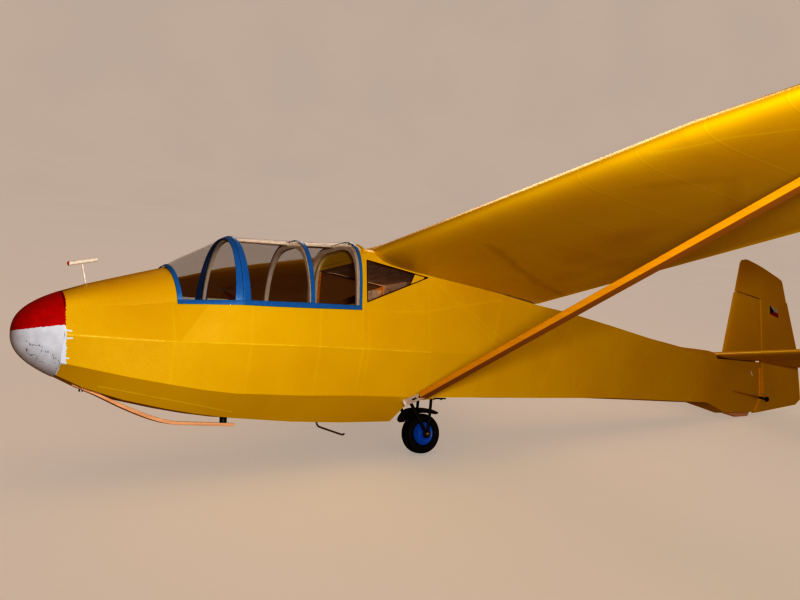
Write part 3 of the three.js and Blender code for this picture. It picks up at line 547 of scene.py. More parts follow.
# Music wire and strip sprayed black: a thin, slightly glossy coat with grey wear
black_wire = mottled("black_sprayed_wire", "#1A1919", "#2C2A29", 3, (0.34, 0.55), 0.08)
# Black nylon fittings, moulded
black_nylon = mottled("black_nylon", "#121213", "#1E1D1E", 2, (0.4, 0.52), 0.05)
# White nylon and painted dowel, slightly yellowed
white_nylon = mottled("white_nylon", "#EFEDE8", "#DEDAD2", 5, (0.36, 0.5), 0.05)
# Turned brass, dulled
dull_brass = mottled("dull_brass", "#C2A45C", "#8E7743", 1.2, (0.3, 0.45), 0.04, Metallic=1.0)
# Yellow enamel on pin heads and film tape, made brighter than the film as a painted highlight
bright_yellow = mottled("bright_yellow_tape", "#FFCB1E", "#F7B800", 6, (0.22, 0.34), 0.04)


def brushed(name, light, dark, rough, stretch, metallic=1.0):
    """Bare metal drawn or rolled one way: fine streaks along it, brighter where it is bent."""
    tree, place = fresh(name)
    streaks = noise(tree, place, 0.9, detail=3, stretch=stretch)
    cloud = noise(tree, place, 8, detail=3)
    colour = toned(tree, streaks, light, dark)
    worn = calc(tree, "ADD", streaks, cloud)
    gloss = spread(tree, worn, *rough, 0.7, 1.3)
    return finish(name, colour, gloss, streaks, 0.03, Metallic=metallic)


# Rolled aluminium sheet under a dull grey oxide, which takes most of its mirror away
sheet_aluminium = brushed("sheet_aluminium", "#ECE4DC", "#CFC4BA", (0.45, 0.62), (0.1, 1, 1), 0.3)
# Bright drawn steel wire and screws
drawn_steel = brushed("drawn_steel", "#B9BBBD", "#85888B", (0.22, 0.38), (1, 0.1, 1))


def pitot_enamel():
    """White enamel on a small dowel, its front end dipped in red."""
    tree, place = fresh("pitot_enamel")
    y = axis(tree, place, "Y")
    strokes = noise(tree, place, 2, detail=2)
    white = toned(tree, strokes, "#F1EEE9", "#DAD5CC")
    tip = spread(tree, y, 1, 0, 48.3, 48.7)
    colour = over(tree, tip, white, "#C1101A")
    return finish("pitot_enamel", colour, spread(tree, strokes, 0.3, 0.45), strokes, 0.05)


pitot_white = pitot_enamel()


def rod_enamel():
    """The rudder's pushrod: music wire painted with the body, and a black nylon end."""
    tree, place = fresh("rod_enamel")
    y = axis(tree, place, "Y")
    strokes = noise(tree, place, 1.5, detail=2)
    tan = toned(tree, strokes, "#C98F1C", "#A87414")
    colour = over(tree, spread(tree, y, 0, 1, ROD_BLACK_FROM - 0.3, ROD_BLACK_FROM + 0.3), tan, "#141314")
    return finish("rod_enamel", colour, spread(tree, strokes, 0.35, 0.5), strokes, 0.04)


ROD_BLACK_FROM = 1152
rod_paint = rod_enamel()


def tricolour():
    """A small waterslide patch: white over red, with a dark blue wedge from its front edge."""
    tree, place = fresh("patch_decal")
    y = axis(tree, place, "Y")
    z = axis(tree, place, "Z")
    across = spread(tree, y, 0, 1, *PATCH["y"])
    level = calc(tree, "SUBTRACT", y, PATCH["y"][0])
    level = calc(tree, "MULTIPLY", level, PATCH["drop"])
    level = calc(tree, "ADD", level, z)
    up = spread(tree, level, -1, 1, *PATCH["z"])
    upper = calc(tree, "GREATER_THAN", up, 0.0)
    off = calc(tree, "ABSOLUTE", up)
    reach = calc(tree, "MULTIPLY", across, 2.0)
    total = calc(tree, "ADD", off, reach)
    wedge = calc(tree, "LESS_THAN", total, 1.0)
    faded = noise(tree, place, 4, detail=2)
    white = toned(tree, faded, "#D8D6D2", "#BDBAB4")
    colour = over(tree, upper, "#A81818", white)
    colour = over(tree, wedge, colour, "#141A44")
    return finish("patch_decal", colour, spread(tree, faded, 0.35, 0.5), faded, 0.02)


PATCH = {"y": (1204.9, 1230), "z": (109.1, 124.2), "drop": 0.21}
patch_decal = tricolour()


# Building pieces

SIDES = (("left", 1), ("right", -1))
BOTH = (("port", 1), ("starboard", -1))


def rounded(bm, width, over_degrees, segments=2, seam=None):
    """Rounds the edges that turn more than so many degrees, but none that lies on a seam."""
    edges = [
        e for e in bm.edges
        if len(e.link_faces) == 2 and e.calc_face_angle(0) > math.radians(over_degrees)
        and not (seam and seam(e.verts[0].co) and seam(e.verts[1].co))
    ]
    bmesh.ops.bevel(
        bm, geom=edges, offset=width, offset_type="OFFSET", segments=segments, profile=0.5,
        affect="EDGES", clamp_overlap=True, material=-1,
    )


def placed(bm, name, body, finishes, replaces=(), smooth=35):
    """Makes the piece from a bmesh in the glider's own frame, and sets it on its body."""
    mesh = bpy.data.meshes.new(name)
    bm.transform(OWN)
    bm.to_mesh(mesh)
    bm.free()
    mesh.shade_smooth()
    mesh.set_sharp_from_angle(angle=math.radians(smooth))
    for each in finishes:
        mesh.materials.append(each)
    made = bpy.data.objects.new(name, mesh)
    bpy.context.scene.collection.objects.link(made)
    flat_faces = made.modifiers.new("flat_faces", "WEIGHTED_NORMAL")
    flat_faces.keep_sharp = True
    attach(made, body)
    if replaces:
        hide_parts(*replaces)
    return made


def closed(bm):
    """Merges doubled points and faces everything outward."""
    bmesh.ops.remove_doubles(bm, verts=bm.verts, dist=1e-4)
    bmesh.ops.recalc_face_normals(bm, faces=bm.faces)


node_body = {node: body for body, nodes in frame["record"]["behaviour"]["bodies"].items() for node in nodes}


def dressed(node, finishes, edge=0.5, over_degrees=20, smooth=35, lined=None, move=None, seam=None):
    """The node's own shape with its edges eased. Move shifts its corners a little, and the faces that
    lined picks, by centre and direction, get the second finish."""
    bm = bmesh.new()
    bm.from_mesh(frame["nodes"][node].data)
    bm.transform(OWN.inverted())
    bmesh.ops.remove_doubles(bm, verts=bm.verts, dist=0.01)
    bmesh.ops.dissolve_limit(bm, angle_limit=math.radians(0.5), verts=bm.verts, edges=bm.edges)
    if move:
        for vert in bm.verts:
            vert.co += Vector(move(vert.co))
    bm.normal_update()
    if lined:
        for face in bm.faces:
            if lined(face.calc_center_median(), face.normal):
                face.material_index = 1
    if edge:
        rounded(bm, edge, over_degrees, seam=seam)
    return placed(bm, "dressed_" + node, node_body[node], finishes, [node], smooth)


def loft(bm, rings):
    """Extrudes a face from the first ring through the others, and leaves both ends closed."""
    face = bm.faces.new([bm.verts.new(p) for p in rings[0]])
    for k, ring in enumerate(rings[1:]):
        made = bmesh.ops.extrude_face_region(bm, geom=[face])["geom"]
        ahead = next(part for part in made if isinstance(part, bmesh.types.BMFace))
        for corner, point in zip(ahead.loops, ring):
            corner.vert.co = point
        if k:
            bm.faces.remove(face)
        face = ahead


def lofted(rings, edge=0.0, over_degrees=50):
    """A closed loft with its edges eased."""
    bm = bmesh.new()
    loft(bm, rings)
    closed(bm)
    if edge:
        rounded(bm, edge, over_degrees)
    return bm


def turned(profile, middle, about, steps):
    """Spins a profile of points all the way round an axis."""
    bm = bmesh.new()
    verts = [bm.verts.new(p) for p in profile]
    edges = [bm.edges.new(pair) for pair in zip(verts, verts[1:])]
    bmesh.ops.spin(
        bm, geom=verts + edges, cent=middle, axis=about, dvec=(0, 0, 0), angle=2 * math.pi,
        steps=steps, use_merge=True, use_duplicate=False,
    )
    closed(bm)
    return bm


def rod(start, end, radius, sides=20, far_radius=None, ease=0.0):
    """A round bar between two points."""
    bm = bmesh.new()
    start, end = Vector(start), Vector(end)
    along = end - start
    place = Matrix.Translation((start + end) / 2) @ along.to_track_quat("Z", "Y").to_matrix().to_4x4()
    made = bmesh.ops.create_cone(
        bm, cap_ends=True, segments=sides, radius1=radius,
        radius2=radius if far_radius is None else far_radius, depth=along.length, matrix=place,
    )
    if ease:
        rims = {e for v in made["verts"] for e in v.link_edges if e.calc_face_angle(0) > 1}
        bmesh.ops.bevel(
            bm, geom=list(rims), offset=ease, offset_type="OFFSET", segments=3, profile=0.5,
            affect="EDGES", clamp_overlap=True, material=-1,
        )
    return bm


def run_through(points, steps):
    """Points on a smooth curve through the given ones."""
    points = [Vector(p) for p in points]
    ends = [2 * points[0] - points[1], *points, 2 * points[-1] - points[-2]]
    made = []
    for a, b, c, d in zip(ends, ends[1:], ends[2:], ends[3:]):
        for k in range(steps):
            t = k / steps
            bend, twist = 2 * a - 5 * b + 4 * c - d, 3 * b - a - 3 * c + d
            made.append(0.5 * (2 * b + (c - a) * t + bend * t ** 2 + twist * t ** 3))
    return made + [points[-1]]


def between(rows, place):
    """A table's row at a place on its first column, straight between its neighbours."""
    after = next((k for k, row in enumerate(rows) if row[0] >= place), len(rows) - 1)
    a, b = rows[max(1, after) - 1], rows[max(1, after)]
    share = (place - a[0]) / (b[0] - a[0])
    return [low + (high - low) * share for low, high in zip(a, b)]


def stops(start, end, count, kinks=()):
    """Evenly spaced places from start to end, with any kinks between them kept."""
    even = [start + (end - start) * k / count for k in range(count + 1)]
    return sorted(even + [k for k in kinks if start + 0.5 < k < end - 0.5])


# Nose cap
CAP_REAR = 40
CAP_SCALE, CAP_POWER = 9.2, 0.41
CAP_RINGS = 30


def nose_cap():
    """The cap's radius grows as a power of the distance from its tip."""
    places = [CAP_REAR * (k / CAP_RINGS) ** 2 for k in range(CAP_RINGS + 1)]
    profile = [(CAP_SCALE * y ** CAP_POWER, y, 0) for y in places]
    bm = turned([*profile, (0, CAP_REAR, 0)], (0, 0, 0), (0, 1, 0), 96)
    rounded(bm, 0.4, 60)
    placed(bm, "painted_nose_cap", "glider", [cap], ["nose_cap"])


nose_cap()

# Film-covered body, fin and tail; the cabin and the room under the wing are lined in stained ply
CHINE = [
    (40, -29), (66, -34), (105, -41), (146, -47), (178, -51), (210, -53.5), (288, -53.6), (350.6, -52),
    (448, -51.8), (540, -49.3), (628, -48),
]
JOINTS_Y = (40, 350.6, 354, 628)


def on_seam(p):
    """Whether a corner lies where two covered parts meet, under one unbroken film."""
    at_joint = any(abs(p.y - y) < 0.5 for y in JOINTS_Y)
    along_chine = p.y < 629 and abs(p.z - between(CHINE, p.y)[1]) < 1
    return at_joint or along_chine


def looks_into(middle, front):
    """Picks the faces behind a place that face a point inside a room."""
    middle = Vector(middle)
    return lambda centre, normal: centre.y > front and normal.dot(middle - centre) > 0


BULKHEAD_Y, BULKHEAD_GAP = 352.3, 0.32


def close_joints(p):
    """Carries the bulkhead's two faces up to the tub and the body, which they stand a gap away from."""
    return (0, math.copysign(BULKHEAD_GAP, p.y - BULKHEAD_Y), 0)


def belly_step(p):
    """The belly meets the tub's chine, and its rear end is cut off more steeply than the solid's."""
    if abs(p.y - 440) < 1 and abs(p.z + 60.5) < 1:
        return (0, -11.5, 0)
    if abs(p.y - 455) < 1 and abs(p.z + 54.6) < 1:
        return (0, -9, 0)
    return (0, 0, 0.3 if abs(p.z + 0.3 - between(CHINE, p.y)[1]) < 0.5 else 0)


WINDOW_TIP, PHOTO_TIP = (441, 90.8), (447.5, 90.4)


def window_tip(p):
    """The rear corner of the side window reaches a little further aft."""
    if abs(p.y - WINDOW_TIP[0]) > 1.6 or abs(p.z - WINDOW_TIP[1]) > 1.6:
        return (0, 0, 0)
    return (-math.copysign(0.16, p.x), PHOTO_TIP[0] - WINDOW_TIP[0], PHOTO_TIP[1] - WINDOW_TIP[1])


FIN_FOOT_Z, HINGE_Y = 37, 1176
FIN_FRONT_Y, FIN_SLOPE = 1061, 0.4675  # the solid's leading edge: y at the foot, and per unit of height
FIN_SHIFT, SHIFT_LOSS = 14.5, 0.118  # how far aft the foot of the edge goes, and how much less higher up
HORN_EDGE, HORN_LIFT = (129, 139.5), 1.2  # the cut under the rudder's horn stands a little higher
HORN_FROM_Z = 132


def fin_rake(p):
    """The leading edge stands steeper than the straight-edged solid's, and the hinge line stays."""
    height = p.z - FIN_FOOT_Z
    front = FIN_FRONT_Y + FIN_SLOPE * height
    back = min(1, max(0, (HINGE_Y - 6 - p.y) / (HINGE_Y - 6 - front)))
    lift = HORN_LIFT if HORN_EDGE[0] < p.z < HORN_EDGE[1] else 0
    return (0, (FIN_SHIFT - SHIFT_LOSS * height) * back, lift)


def horn_rake(p):
    return fin_rake(p)[:2] + (0,) if p.z > HORN_FROM_Z else (0, 0, 0)


def in_hole(centre, normal):
    return abs(centre.x) < 53 and 50 < centre.z < 119 and abs(normal.y) < 0.5


dressed(
    "cockpit_tub", [body_film, stained_lining], 0.5, 14, 30,
    looks_into((0, 255, 20), 148), None, on_seam,
)
dressed("belly", [body_film], 0.7, move=belly_step, seam=on_seam)
dressed(
    "centre_body", [body_film, room_lining], 0.6, 14, 30,
    looks_into((0, 402, 72), 355), window_tip, on_seam,
)
dressed("wing_saddle", [body_film, room_lining], 0.3, 30, lined=looks_into((0, 402, 72), 355))
dressed("tail_boom", [boom_film], 0.7, 14, 30, seam=on_seam)
dressed("rear_bulkhead", [body_film, birch], 0.3, 30, 35, in_hole, close_joints, on_seam)
dressed("cockpit_floor", [stained_lining], 0.3)
dressed("fin", [tail_film], 1.0, 30, 40, move=fin_rake)
dressed("rudder", [tail_film], 0.6, 30, 40, move=horn_rake)
dressed("tailplane", [tailplane_film], 0.6, 30, 45)
dressed("elevator_left", [tailplane_film], 0.5, 30, 45)
dressed("elevator_right", [tailplane_film], 0.5, 30, 45)

# Canopy: each row is an arch that the clear sheet is wrapped over, with the powers that square its
# sides and its crown. The first rows lean forward over the deck.
CANOPY = [  # y, half width, foot, crown, power across, power up
    (139, 41.7, 35.6, 75.6, 2, 2),
    (146, 41.5, 37.2, 79.8, 2, 2),
    (155, 44.7, 38, 86.2, 2.05, 1.95),
    (178, 53, 39.9, 99, 2.15, 1.85),
    (210, 62, 42.1, 117, 2.3, 1.65),
    (288, 62.2, 45.4, 121, 3, 1.7),
    (350.6, 62.2, 46.8, 125.2, 3.7, 3.7),
]
KINKS_ALONG = [row[0] for row in CANOPY[2:6]]  # where the canopy's outline changes its slope
DECK_EDGE = [  # y, deck x and z, stringer x and z
    (145, 42, 36.8, 57.5, -4),
    (178, 54, 39.4, 61, -3.8),
    (210, 62.4, 41.7, 64, -3.5),
    (288, 63.4, 45, 65.5, -1),
    (350.6, 62.4, 46.4, 64.5, -0.5),
]
SILL = [  # y, lower and upper edge of the blue tape
    (145, 34.4, 39.1),
    (178, 35.6, 40.3),
    (210, 37, 42.3),
    (240, 37.9, 43.6),
    (288, 39.9, 45.9),
    (312, 41.2, 46.8),
    (350.8, 43.2, 48),
]


def tub_side_x(y, z):
    _, high_x, high_z, low_x, low_z = between(DECK_EDGE, y)
    return high_x + (low_x - high_x) * (high_z - z) / (high_z - low_z)


def canopy_x(y, z):
    _, half, foot, crown, across, up = between(CANOPY, y)
    angle = math.asin(min(1, max(0, (z - foot) / (crown - foot))) ** (up / 2))
    return half * math.cos(angle) ** (2 / across)


def arch_point(foot_y, crown_y, depth, angle):
    """A point so deep under the canopy's outside, on an arch that leans from foot_y to crown_y."""
    across, up = between(CANOPY, foot_y)[4:]
    climb = math.sin(angle) ** (2 / up)
    y = foot_y + (crown_y - foot_y) * climb
    deep = depth[0] + (depth[1] - depth[0]) * climb ** 3 if isinstance(depth, tuple) else depth
    _, half, foot, crown, _, _ = between(CANOPY, y)
    out = math.cos(angle) ** (2 / across) if angle < math.pi / 2 - 1e-6 else 0.0
    return ((half - deep) * out, y, foot + (crown - deep - foot) * climb)


def whole_arch(foot_y, crown_y, depth, steps=26):
    half = [arch_point(foot_y, crown_y, depth, math.pi / 2 * k / steps) for k in range(steps + 1)]
    return half + [(-x, y, z) for x, y, z in half[-2::-1]]


def arched_band(bm, feet, crowns, outer, inner, count=2):
    """A band over the canopy, from one arch to another. A depth may be a pair, for foot and crown."""
    rings = []
    for y in stops(*feet, count, KINKS_ALONG):
        crown_y = crowns[0] + (crowns[1] - crowns[0]) * (y - feet[0]) / (feet[1] - feet[0])
        rings.append(whole_arch(y, crown_y, outer) + whole_arch(y, crown_y, inner)[::-1])
    loft(bm, rings)


def sill_tape(bm, start, end, side, gap, low=None, high=None):
    """Tape along the sill: on the tub's side up to the deck's edge, and on the clear sheet above it."""
    rings = []
    for y in stops(start, end, 8, KINKS_ALONG):
        _, bottom, top = between(SILL, y)
        edge = between(DECK_EDGE, y)[2]
        bottom = edge + low if low is not None else bottom
        top = edge + high if high is not None else top
        heights = [bottom, edge, top] if bottom < edge < top else [bottom, (bottom + top) / 2, top]
        skin = [(tub_side_x(y, z) if z <= edge + 0.01 else canopy_x(y, z)) for z in heights]
        outer = [(side * (x + gap + 0.7), y, z) for x, z in zip(skin, heights)]
        inner = [(side * (x + gap), y, z) for x, z in zip(skin, heights)]
        rings.append(outer + inner[::-1])
    loft(bm, rings)


TAPE_OUT, TAPE_IN = -0.9, -0.2
GLAZING = {
    "windshield": {
        "body": "glider",
        "feet": (146.2, 208),
        "crowns": (141.6, 208),
        "bands": [((146, 151.2), (141.2, 144.8)), ((200.5, 208), (204.4, 208))],
        "sides": {1: {}, -1: {}},
    },
    "lid": {
        "body": "canopy_lid",
        "feet": (208.25, 350.3),
        "crowns": (208.25, 350.3),
        "bands": [((208.25, 217), (208.25, 213)), ((286.6, 291),) * 2, ((347.1, 350.3),) * 2],
        "sides": {1: {}, -1: {"low": 0.7, "high": 4.8}},
    },
}
for part, facts in GLAZING.items():
    bm = bmesh.new()
    arched_band(bm, facts["feet"], facts["crowns"], 0, 1, 8)
    closed(bm)
    placed(bm, "clear_" + part, facts["body"], [clear_petg], [part + "_sheet"], 50)
    bm = bmesh.new()
    for feet, crowns in facts["bands"]:
        arched_band(bm, feet, crowns, TAPE_OUT, TAPE_IN)
    for side, limits in facts["sides"].items():
        sill_tape(bm, facts["feet"][0] - 0.2, facts["feet"][1], side, 0.3, **limits)
    closed(bm)
    rounded(bm, 0.3, 50)
    placed(bm, "blue_trim_" + part, facts["body"], [blue_vinyl], [part + "_frame"], 50)

bm = bmesh.new()
sill_tape(bm, 208.4, 350.3, -1, -0.45, high=-0.3)
closed(bm)
placed(bm, "blue_trim_starboard_sill", "glider", [blue_vinyl], [], 50)

FORMERS = {
    "front": {"span": (209, 213), "inner": (5, 5)},
    "middle": {"span": (286, 291), "inner": (5.5, 8)},
    "rear": {"span": (344.8, 349.8), "inner": (5.5, 8)},
}
for which, facts in FORMERS.items():
    bm = bmesh.new()
    arched_band(bm, facts["span"], facts["span"], 1.3, facts["inner"])
    closed(bm)
    rounded(bm, 0.5, 50)
    placed(bm, "arch_" + which, "canopy_lid", [birch], ["former_" + which], 50)

ROOF_STRIP = [(6, 2.2), (6, 0.5), (0, 0), (-6, 0.5), (-6, 2.2)]  # x, and how far below its top
for which, (start, end) in (("front", (213, 286)), ("rear", (291, 344.8))):
    tops = [(y, between(CANOPY, y)[3] - 1.6) for y in stops(start, end, 4)]
    bm = lofted([[(x, y, top - drop) for x, drop in ROOF_STRIP] for y, top in tops], 0.3)
    placed(bm, "roof_strip_" + which, "canopy_lid", [birch], ["roof_strip_" + which], 50)
    dressed("lid_hinge_" + which, [drawn_steel], 0.15, 40)

STRUT_FOOT_X, STRUT_REACH = 74, 522
FOOT_FORWARD = 8.5


def strut_aft(p):
    """The strut's foot stands further forward than its straight solid's."""
    return (0, -FOOT_FORWARD * min(1, max(0, 1 - (abs(p.x) - STRUT_FOOT_X) / STRUT_REACH)), 0)


def foot_forward(p):
    inner = min(1, max(0, (73.6 - abs(p.x)) / 29.2))
    return (0, -FOOT_FORWARD, 0.3 + 1.7 * inner)


for side in ("left", "right"):
    dressed("side_window_" + side, [clear_acetate], 0.1, 40, move=window_tip)
    dressed("strut_" + side, [strut_enamel], 0.7, 40, 50, move=strut_aft)
    dressed("strut_foot_" + side, [sheet_aluminium], 0.3, 40, move=foot_forward)
    dressed("strut_head_" + side, [sheet_aluminium], 0.3, 40)
    dressed("gear_legs_" + side, [black_wire], 0.3, 40)

for node, finish_of, slot, edge, over_degrees in (
    ("tail_skid", bare_pine, "pale_wood", 0.5, 30),
    ("elevator_joiner", strut_enamel, "steel", 0.2, 60),
    ("control_sleeve", white_nylon, "white_plastic", 0.2, 60),
    ("axle", drawn_steel, "steel", 0.4, 60),
    ("rudder_horn", black_nylon, "black_plastic", 0.3, 50),
    ("rudder_pushrod", rod_paint, "black_plastic", 0.2, 60),
):
    dressed(node, [finish_of], edge, over_degrees)

# Wing section: four-digit, 4.5 % camber at 40 % of the chord, 14.5 % thick
CAMBER = 0.045
CAMBER_AT = 0.4
THICKNESS = 0.145
EDGE = 0.0035
WING = [  # x, front, rear, factor on the section's height
    (52, 373.3, 624.8, 1),
    (480, 379, 617, 0.97),
    (600, 389.6, 604.6, 0.94),
    (1064, 430, 557.5, 0.82),
    (1090, 437, 552, 0.78),
    (1108, 447, 543, 0.72),
    (1118, 460, 530, 0.62),
    (1122, 476, 514, 0.4),
]
WING_ROOT, HALF_SPAN = 52, 1122
DIHEDRAL = math.radians(5)
INCIDENCE = 0.148
CHORD_Z = 99.5
PIVOT = 0.35
WASHOUT = 0.35
SQUARE_FROM = 300
RIB_PITCH = 63.25
SAG = 0.45  # how far the film sinks between two ribs, behind the sheeted nose
LAST_RIB = 1064
SHEETED_TO, TRAILING_FROM = 0.3, 0.97  # as shares of the chord


def foil_height(t, upper):
    rear = t >= CAMBER_AT
    lead = 1 - 2 * CAMBER_AT if rear else 0
    scale = CAMBER / ((1 - CAMBER_AT) if rear else CAMBER_AT) ** 2
    line = scale * (lead + 2 * CAMBER_AT * t - t * t)
    half = 5 * THICKNESS * (
        0.2969 * math.sqrt(t) - 0.126 * t - 0.3516 * t ** 2 + 0.2843 * t ** 3 - 0.1036 * t ** 4
    )
    thick = max(half, EDGE if t > 0.5 else 0)
    return line + thick if upper else line - thick


def foil_run(upper, start, end, steps):
    places = [start + (end - start) * (1 - math.cos(k / steps * math.pi)) / 2 for k in range(steps + 1)]
    return [(t, foil_height(t, upper), upper) for t in places]


def wing_point(x, t, height, side):
    _, front, rear, factor = between(WING, x)
    chord = rear - front
    out = x - WING_ROOT
    slope = INCIDENCE * (1 - WASHOUT * out / (HALF_SPAN - WING_ROOT))
    rise = height * chord * factor - slope * (t - PIVOT) * chord
    square = min(1, out / (SQUARE_FROM - WING_ROOT))
    inward = rise * math.sin(DIHEDRAL) * square
    return (side * (x - inward), front + t * chord, CHORD_Z + out * math.tan(DIHEDRAL) + rise)


def film_sink(x, t, upper):
    """How far the film has sunk at a point of the wing, none on a rib or over the sheeting."""
    if x > LAST_RIB or t < SHEETED_TO or t > TRAILING_FROM:
        return 0
    bay = math.sin(math.pi * (x - WING_ROOT) / RIB_PITCH) ** 2
    chordwise = min(1, (t - SHEETED_TO) / 0.1, (TRAILING_FROM - t) / 0.06)
    return SAG * bay * chordwise * (1 if upper else 0.35)


def wing_ring(x, outline, side, sinks=True):
    ring = []
    for t, height, upper in outline:
        px, py, pz = wing_point(x, t, height, side)
        sink = film_sink(x, t, upper) if sinks else 0
        ring.append((px, py, pz - sink if upper else pz + sink))
    return ring


AILERON = {"from": 602, "to": 1062, "over": 0.775, "under": 0.8}
FOIL_STEPS = 30
WHOLE = foil_run(False, 1, 0, FOIL_STEPS) + foil_run(True, 0, 1, FOIL_STEPS)[1:]
SLOT_FRONT = AILERON["over"] - 0.004
CUT_SHORT = foil_run(False, SLOT_FRONT, 0, FOIL_STEPS) + foil_run(True, 0, SLOT_FRONT, FOIL_STEPS)[1:]
SLOT = (AILERON["from"] - 1.2, AILERON["to"] + 1.2)
KINKS = [row[0] for row in WING]
TIP_STOPS = [1063.2, 1070, 1080, 1090, 1099, 1108, 1113, 1118, 1120, 1122]

for name, side in SIDES:
    bm = bmesh.new()
    loft(bm, [wing_ring(x, WHOLE, side) for x in stops(WING_ROOT, SLOT[0], 44, KINKS)])
    loft(bm, [wing_ring(x, CUT_SHORT, side) for x in stops(*SLOT, 38, KINKS)])
    loft(bm, [wing_ring(x, WHOLE, side) for x in TIP_STOPS])
    bmesh.ops.recalc_face_normals(bm, faces=bm.faces)
    placed(bm, "covered_wing_" + name, "glider", [wing_film], ["wing_" + name], 40)
    bm = bmesh.new()
    outline = foil_run(False, 1, AILERON["under"], 10) + foil_run(True, AILERON["over"], 1, 12)
    loft(bm, [wing_ring(x, outline, side, False) for x in stops(AILERON["from"], AILERON["to"], 12)])
    bmesh.ops.recalc_face_normals(bm, faces=bm.faces)
    flap = "aileron_" + name
    placed(bm, "covered_" + flap, flap, [wing_film], [flap], 40)


# Wheel

def wheel():
    """A squared-off sponge tyre on a dished hub, and the axle's nut and end on each side."""
    _, y0, z0 = WHEEL
    middle_radius, deep, half, power = 19.3, 5, 9.3, 2.7
    profile = []
    count = 48
    for k in range(count + 1):
        a = 2 * math.pi * k / count
        c, s = math.cos(a), math.sin(a)
        x = half * math.copysign(abs(c) ** (2 / power), c)
        r = middle_radius + deep * math.copysign(abs(s) ** (2 / power), s)
        profile.append((x, y0, z0 + r))
    bm = turned(profile, WHEEL, (1, 0, 0), 80)
    placed(bm, "sponge_tyre", "wheel", [sponge_rubber], ["tyre"], 50)
    port = [
        (2.0, 9), (4.2, 9), (4.6, 8.6), (4.9, 6.5), (5.6, 6), (8.2, 5.7), (11.4, 6), (12.2, 6.6),
        (12.8, 7), (13.7, 7), (14, 6.7),
    ]
    rim = port + [(r, -x) for r, x in port[::-1]]
    bm = turned([(x, y0, z0 + r) for r, x in [*rim, rim[0]]], WHEEL, (1, 0, 0), 64)
    placed(bm, "moulded_hub", "wheel", [blue_nylon], ["wheel_hub"], 40)
    for name, side in SIDES:
        bm = rod((side * 15.8, y0, z0), (side * 17.9, y0, z0), 3.1, 6, ease=0.3)
        placed(bm, "axle_nut_" + name, "glider", [dull_brass])
        bm = rod((side * 17.9, y0, z0), (side * 18.9, y0, z0), 1.3, 16, ease=0.3)
        placed(bm, "axle_end_" + name, "glider", [drawn_steel])


wheel()


MUDGUARD = [  # half width, then y and z of the port edge and of the starboard edge, from the front
    (5, 441.5, -82, 446.5, -81),
    (10.5, 443.5, -81.7, 449, -79.4),
    (12.9, 447.5, -80.2, 452.5, -75.4),
    (12.9, 453, -76.9, 457, -70.4),
    (12.9, 460.4, -72.9, 463, -66.6),
    (12.9, 468.5, -70.2, 473, -65.1),
    (12.9, 480, -70.4, 485, -65),
    (11.8, 489, -71.4, 494, -65.8),
    (7.5, 496, -71.3, 500, -67.2),
    (0.6, 503, -70.6, 504, -70.2),
]


def mudguard():
    """A thin strip bent over the wheel and twisted a little, its port edge lower."""
    port = run_through([(half, y, z) for half, y, z, _, _ in MUDGUARD], 3)
    starboard = run_through([(-half, y, z) for half, _, _, y, z in MUDGUARD], 3)
    up = Vector((0, 0, 1.1))
    bm = lofted([[a, a + up, b + up, b] for a, b in zip(port, starboard)], 0.3)
    placed(bm, "bent_mudguard", "glider", [black_wire], ["mudguard"], 40)


GEAR_PLATE = [(446.5, -57.4), (452, -56.2), (467, -52.7), (487, -52.7), (506, -52.7)]


def gear_plate():
    """The thin plate under the body that the wheel's legs are bolted to, its front end bent down."""
    bm = lofted([[(13, y, z), (13, y, z + 1.5), (-13, y, z + 1.5), (-13, y, z)] for y, z in GEAR_PLATE], 0.3)
    placed(bm, "gear_plate", "glider", [black_wire])
    for name, side in SIDES:
        for place in (474, 502):
            bolt = (side * 8, place, -52.7)
            pin(f"gear_bolt_{name}_{place}", "glider", bolt, (0, 0, -1), 1.6, 1.1, drawn_steel)


# Bent pine skid: its upper edge in side view, with its thickness and half width there
SKID = [
    (58.8, -47.8, 1.8, 1.2),
    (71, -52, 2.6, 3.6),
    (83.6, -56.4, 3.2, 4.8),
    (109.3, -67.2, 3.9, 5.5),
    (135.7, -77, 4, 5.5),
    (155.9, -82, 3.8, 5.5),
    (176.4, -83.5, 3.6, 5.5),
    (229, -84.6, 3.4, 5.4),
]


BLOCK_Y, BLOCK_Z = 217.8, (-84.4, -77.6)
SCREW_Y, SCREW_Z = 68, (-55.3, -52.6)


def skid():
    """The bent skid, the rubber block it bears on at the back, and its screw at the front."""
    rings = []
    tops = run_through([(half, y, z) for y, z, _, half in SKID], 6)
    deep = run_through([(deep, y, z) for y, z, deep, _ in SKID], 6)
    for top, thick in zip(tops, deep):
        low = top.z - thick.x
        corners = ((top.x, low), (top.x, top.z), (-top.x, top.z), (-top.x, low))
        rings.append([(x, top.y, z) for x, z in corners])
    bm = lofted(rings, 0.6)
    placed(bm, "bent_skid", "glider", [bare_pine], ["skid"], 40)
    bm = rod((0, BLOCK_Y, BLOCK_Z[0]), (0, BLOCK_Y, BLOCK_Z[1]), 3.8, 28, ease=0.9)
    placed(bm, "rubber_block", "glider", [green_rubber], ["skid_block"], 50)
    bm = rod((0, SCREW_Y, SCREW_Z[0]), (0, SCREW_Y, SCREW_Z[1]), 2.4, 20, 1.9, ease=0.5)
    placed(bm, "domed_skid_screw", "glider", [drawn_steel], ["skid_screw"], 50)


